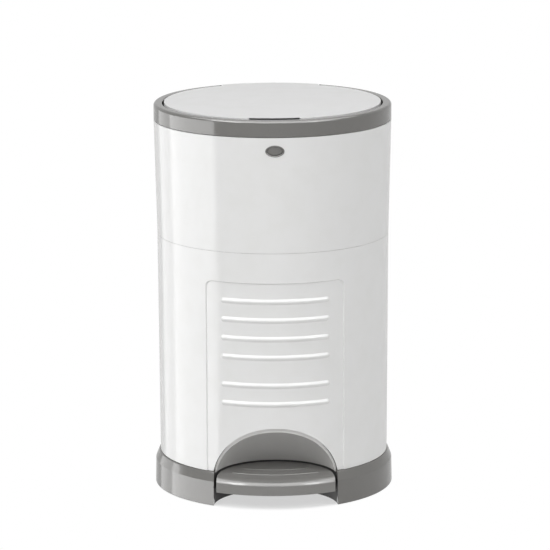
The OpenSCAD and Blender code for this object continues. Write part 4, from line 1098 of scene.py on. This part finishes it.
# %% Gather the film
film_low, film_h = tray_z + 2.4 + 2.4, 33.0
folds, film_in, film_out, up = 16, 94.9, 113.2, 64
film_rows = []
for turn in (1.5 * i for i in range(240)):
    x, y = spot(turn, 1)
    film_rows.append([])
    for j in range(2 * up):
        outside = j < up
        t = (j if outside else 2 * up - 1 - j) / (up - 1)
        wobble = noise.noise(Vector((-y * 3, x * 3, t * 14 + (0 if outside else 40))))
        fold = 0.9 - 0.55 * sin(2 * pi * folds * t) - 0.3 * wobble
        r = film_out - fold if outside else film_in + fold
        z = film_low + film_h * t + 0.35 * noise.noise(Vector((-y * 5, x * 5, t * 3)))
        film_rows[-1].append((r * x, r * y, z))
moulded("film_folds", Moulding().loft(film_rows, closed=True), "frame", ["film_pack"], film, 0)

# %% [markdown]
# ## The parts that stay
# Pins, springs, flaps, tray and screws are already the right shape. They keep their
# solids and get a finish, and the moulded ones get softened edges: a weld first joins
# the faces that the exact solid keeps apart, so that a bevel can follow the edges.

# %% Finish the other parts
finishes = {
    plated_steel: "base_screws housing_screws pedal_screws lid_screws door_hinge_pins hinge_pin pivot_pin "
                  "flap_pins crank_roller door_catch cutter_blade",
    rod_steel: "push_rod", spring_steel: "flap_springs", coated_steel: "pedal_lever",
    foot_rubber: "rubber_feet", seal_rubber: "lid_seal", trim_grey: "catch_keeper",
    hidden_grey: "film_cutter rod_cap rod_foot lid_hinge_block", tray_grey: "refill_cassette cassette_cover",
    inner_white: "refill_tray drop_tube collar_funnel lid_liner trap_flap_left trap_flap_right "
                 "latch_guide rod_guides rod_cover",
}
softened = {
    0.2: "door_catch refill_cassette", 0.4: "film_cutter rod_cap collar_funnel rod_guides", 0.5: "pedal_lever",
    0.3: "lid_hinge_block refill_tray drop_tube lid_liner trap_flap_left trap_flap_right latch_guide rod_cover",
}
for finish, names in finishes.items():
    for part in (nodes[name] for name in names.split()):
        part.data.materials.clear()
        part.data.materials.append(finish)
for width, names in softened.items():
    for part in (nodes[name] for name in names.split()):
        weld = part.modifiers.new("joined faces", "WELD")
        weld.merge_threshold = 0.005 * MM
        soften(part, width)
print("parts with a finish of their own:", sum(len(names.split()) for names in finishes.values()))

# %% [markdown]
# ## Floor and backdrop
# The picture has a plain white ground. To the camera the floor is simply white, apart
# from under the bin, where it keeps the soft shadow. Mirrored rays pass through it, so
# that the gloss of the base is as pale as the room. Light that it scatters finds a pale
# matt sheet, which sends it back up.

# %% Floor
shadow_in, shadow_out, plain, half_size = 0.138, 0.152, 0.6, 6.0
ground = Finish("pale studio floor", Base_Color=tone(0.8), Roughness=0.9)
rays = ground.node("ShaderNodeLightPath").outputs
away = Field(ground, ground.node("ShaderNodeVectorMath", {"operation": "LENGTH"}, {0: ground.place}).outputs["Value"])
white = ground.node("ShaderNodeEmission", None, {"Color": tone(1.0), "Strength": 1.0})
white_share = Field(ground, rays["Is Camera Ray"]) * (plain + away.between(shadow_in, shadow_out) * (1 - plain))
shown = ground.either(white_share, ground.surface, white)
shown = ground.either(rays["Is Glossy Ray"], shown, ground.node("ShaderNodeBsdfTransparent"))
ground.join(shown.outputs[0], ground.tree.nodes["Material Output"].inputs["Surface"])
floor_net = bmesh.new()
bmesh.ops.create_grid(floor_net, x_segments=8, y_segments=8, size=half_size)
floor = smooth_object(floor_net, bpy.data.meshes.new("studio_floor"))
floor.data.materials.append(ground.material)
print("floor", half_size * 2, "m across")

# %% [markdown]
# ## Light
# Two wide windows on the left leave a broad, hard-edged reflection down the glossy
# shell, bright in front and fainter behind. One overhead and one in front show in the
# gloss of the lid, collar and pedal. Only mirrored rays see these four. The shading
# comes from three soft boxes, left, right and above, and from an even grey room. The
# camera sees that room as white, and gloss sees it in a pale grey.

# %% World
world = bpy.data.worlds.new("studio room")
scene.world = world
world.use_nodes = True
sky = Graph(world.node_tree)
room_grey, gloss_share = 0.34, 0.6
rays = {kind: Field(sky, socket) for kind, socket in sky.node("ShaderNodeLightPath").outputs.items()}
lit = sky.node("ShaderNodeBackground", None, {"Color": tone(room_grey)})
white_room = sky.node("ShaderNodeBackground", None, {"Color": tone(1.0)})
mirrored = rays["Is Glossy Ray"] * gloss_share + rays["Is Transmission Ray"]
seen = sky.either(mirrored.maths("MAXIMUM", rays["Is Camera Ray"], mirrored), lit, white_room)
sky.join(seen.outputs[0], sky.tree.nodes["World Output"].inputs["Surface"])
print("world set")

# %% Lamps
def soft_box(name, centre, look_at, width, height, radiance, mirrored_only=False):
    """A rectangular lamp, given by how bright its face is."""
    data = bpy.data.lights.new(name, "AREA")
    data.shape, data.size, data.size_y = "RECTANGLE", width, height
    data.energy = radiance * pi * width * height
    lamp = linked(name, data)
    lamp.location = centre
    lamp.rotation_euler = (Vector(look_at) - Vector(centre)).to_track_quat("-Z", "Y").to_euler()
    lamp.visible_camera, lamp.visible_diffuse = False, not mirrored_only


soft_box("left_window", (-2.0, -0.165, -0.2), (0, -0.165, -0.2), 2.23, 1.32, 3.3, True)
soft_box("left_back_window", (-2.0, 1.775, -0.2), (0, 1.775, -0.2), 1.65, 1.32, 1.25, True)
soft_box("top_window", (0.0, -0.5, 1.9), (0, -0.4, 0), 3.6, 2.2, 3.6, True)
soft_box("front_window", (0.0, -2.4, 2.2), (0, 0, 0.4), 4.6, 1.7, 3.9, True)
soft_box("left_front_soft_box", (-2.4, -1.9, 2.6), (0, 0, 0.2), 2.0, 1.6, 6.6)
soft_box("right_front_soft_box", (2.4, -2.0, 2.3), (0, 0, 0.2), 1.8, 1.4, 4.9)
soft_box("top_soft_box", (0.0, -0.3, 2.0), (0, 0, 0.3), 1.2, 1.2, 0.6)

# %% [markdown]
# ## Camera
# The photograph was taken from a few metres away with a long lens, slightly above the
# bin and a touch to its left. The distance and the lens follow from how much the
# ellipses of the lid and the base open up.

# %% Camera
target, distance = Vector((0.0024, 0.0, 0.2648)), 4.464
azimuth, elevation, roll = radians(-1.1), radians(12.15), radians(-0.22)
camera = linked("camera", bpy.data.cameras.new("camera"))
camera.data.lens, camera.data.sensor_width = 232.3, 36.0
camera.data.clip_start, camera.data.clip_end = 0.1, 50.0
flat = cos(elevation)
direction = Vector((sin(azimuth) * flat, -cos(azimuth) * flat, sin(elevation)))
camera.location = target + direction * distance
aim = (-direction).to_track_quat("-Z", "Y").to_matrix() @ Matrix.Rotation(roll, 3, "Z")
camera.rotation_euler = aim.to_euler()
scene.camera = camera
scene.view_settings.view_transform = "Standard"
print("camera at", tuple(round(c, 3) for c in camera.location))

# %% [markdown]
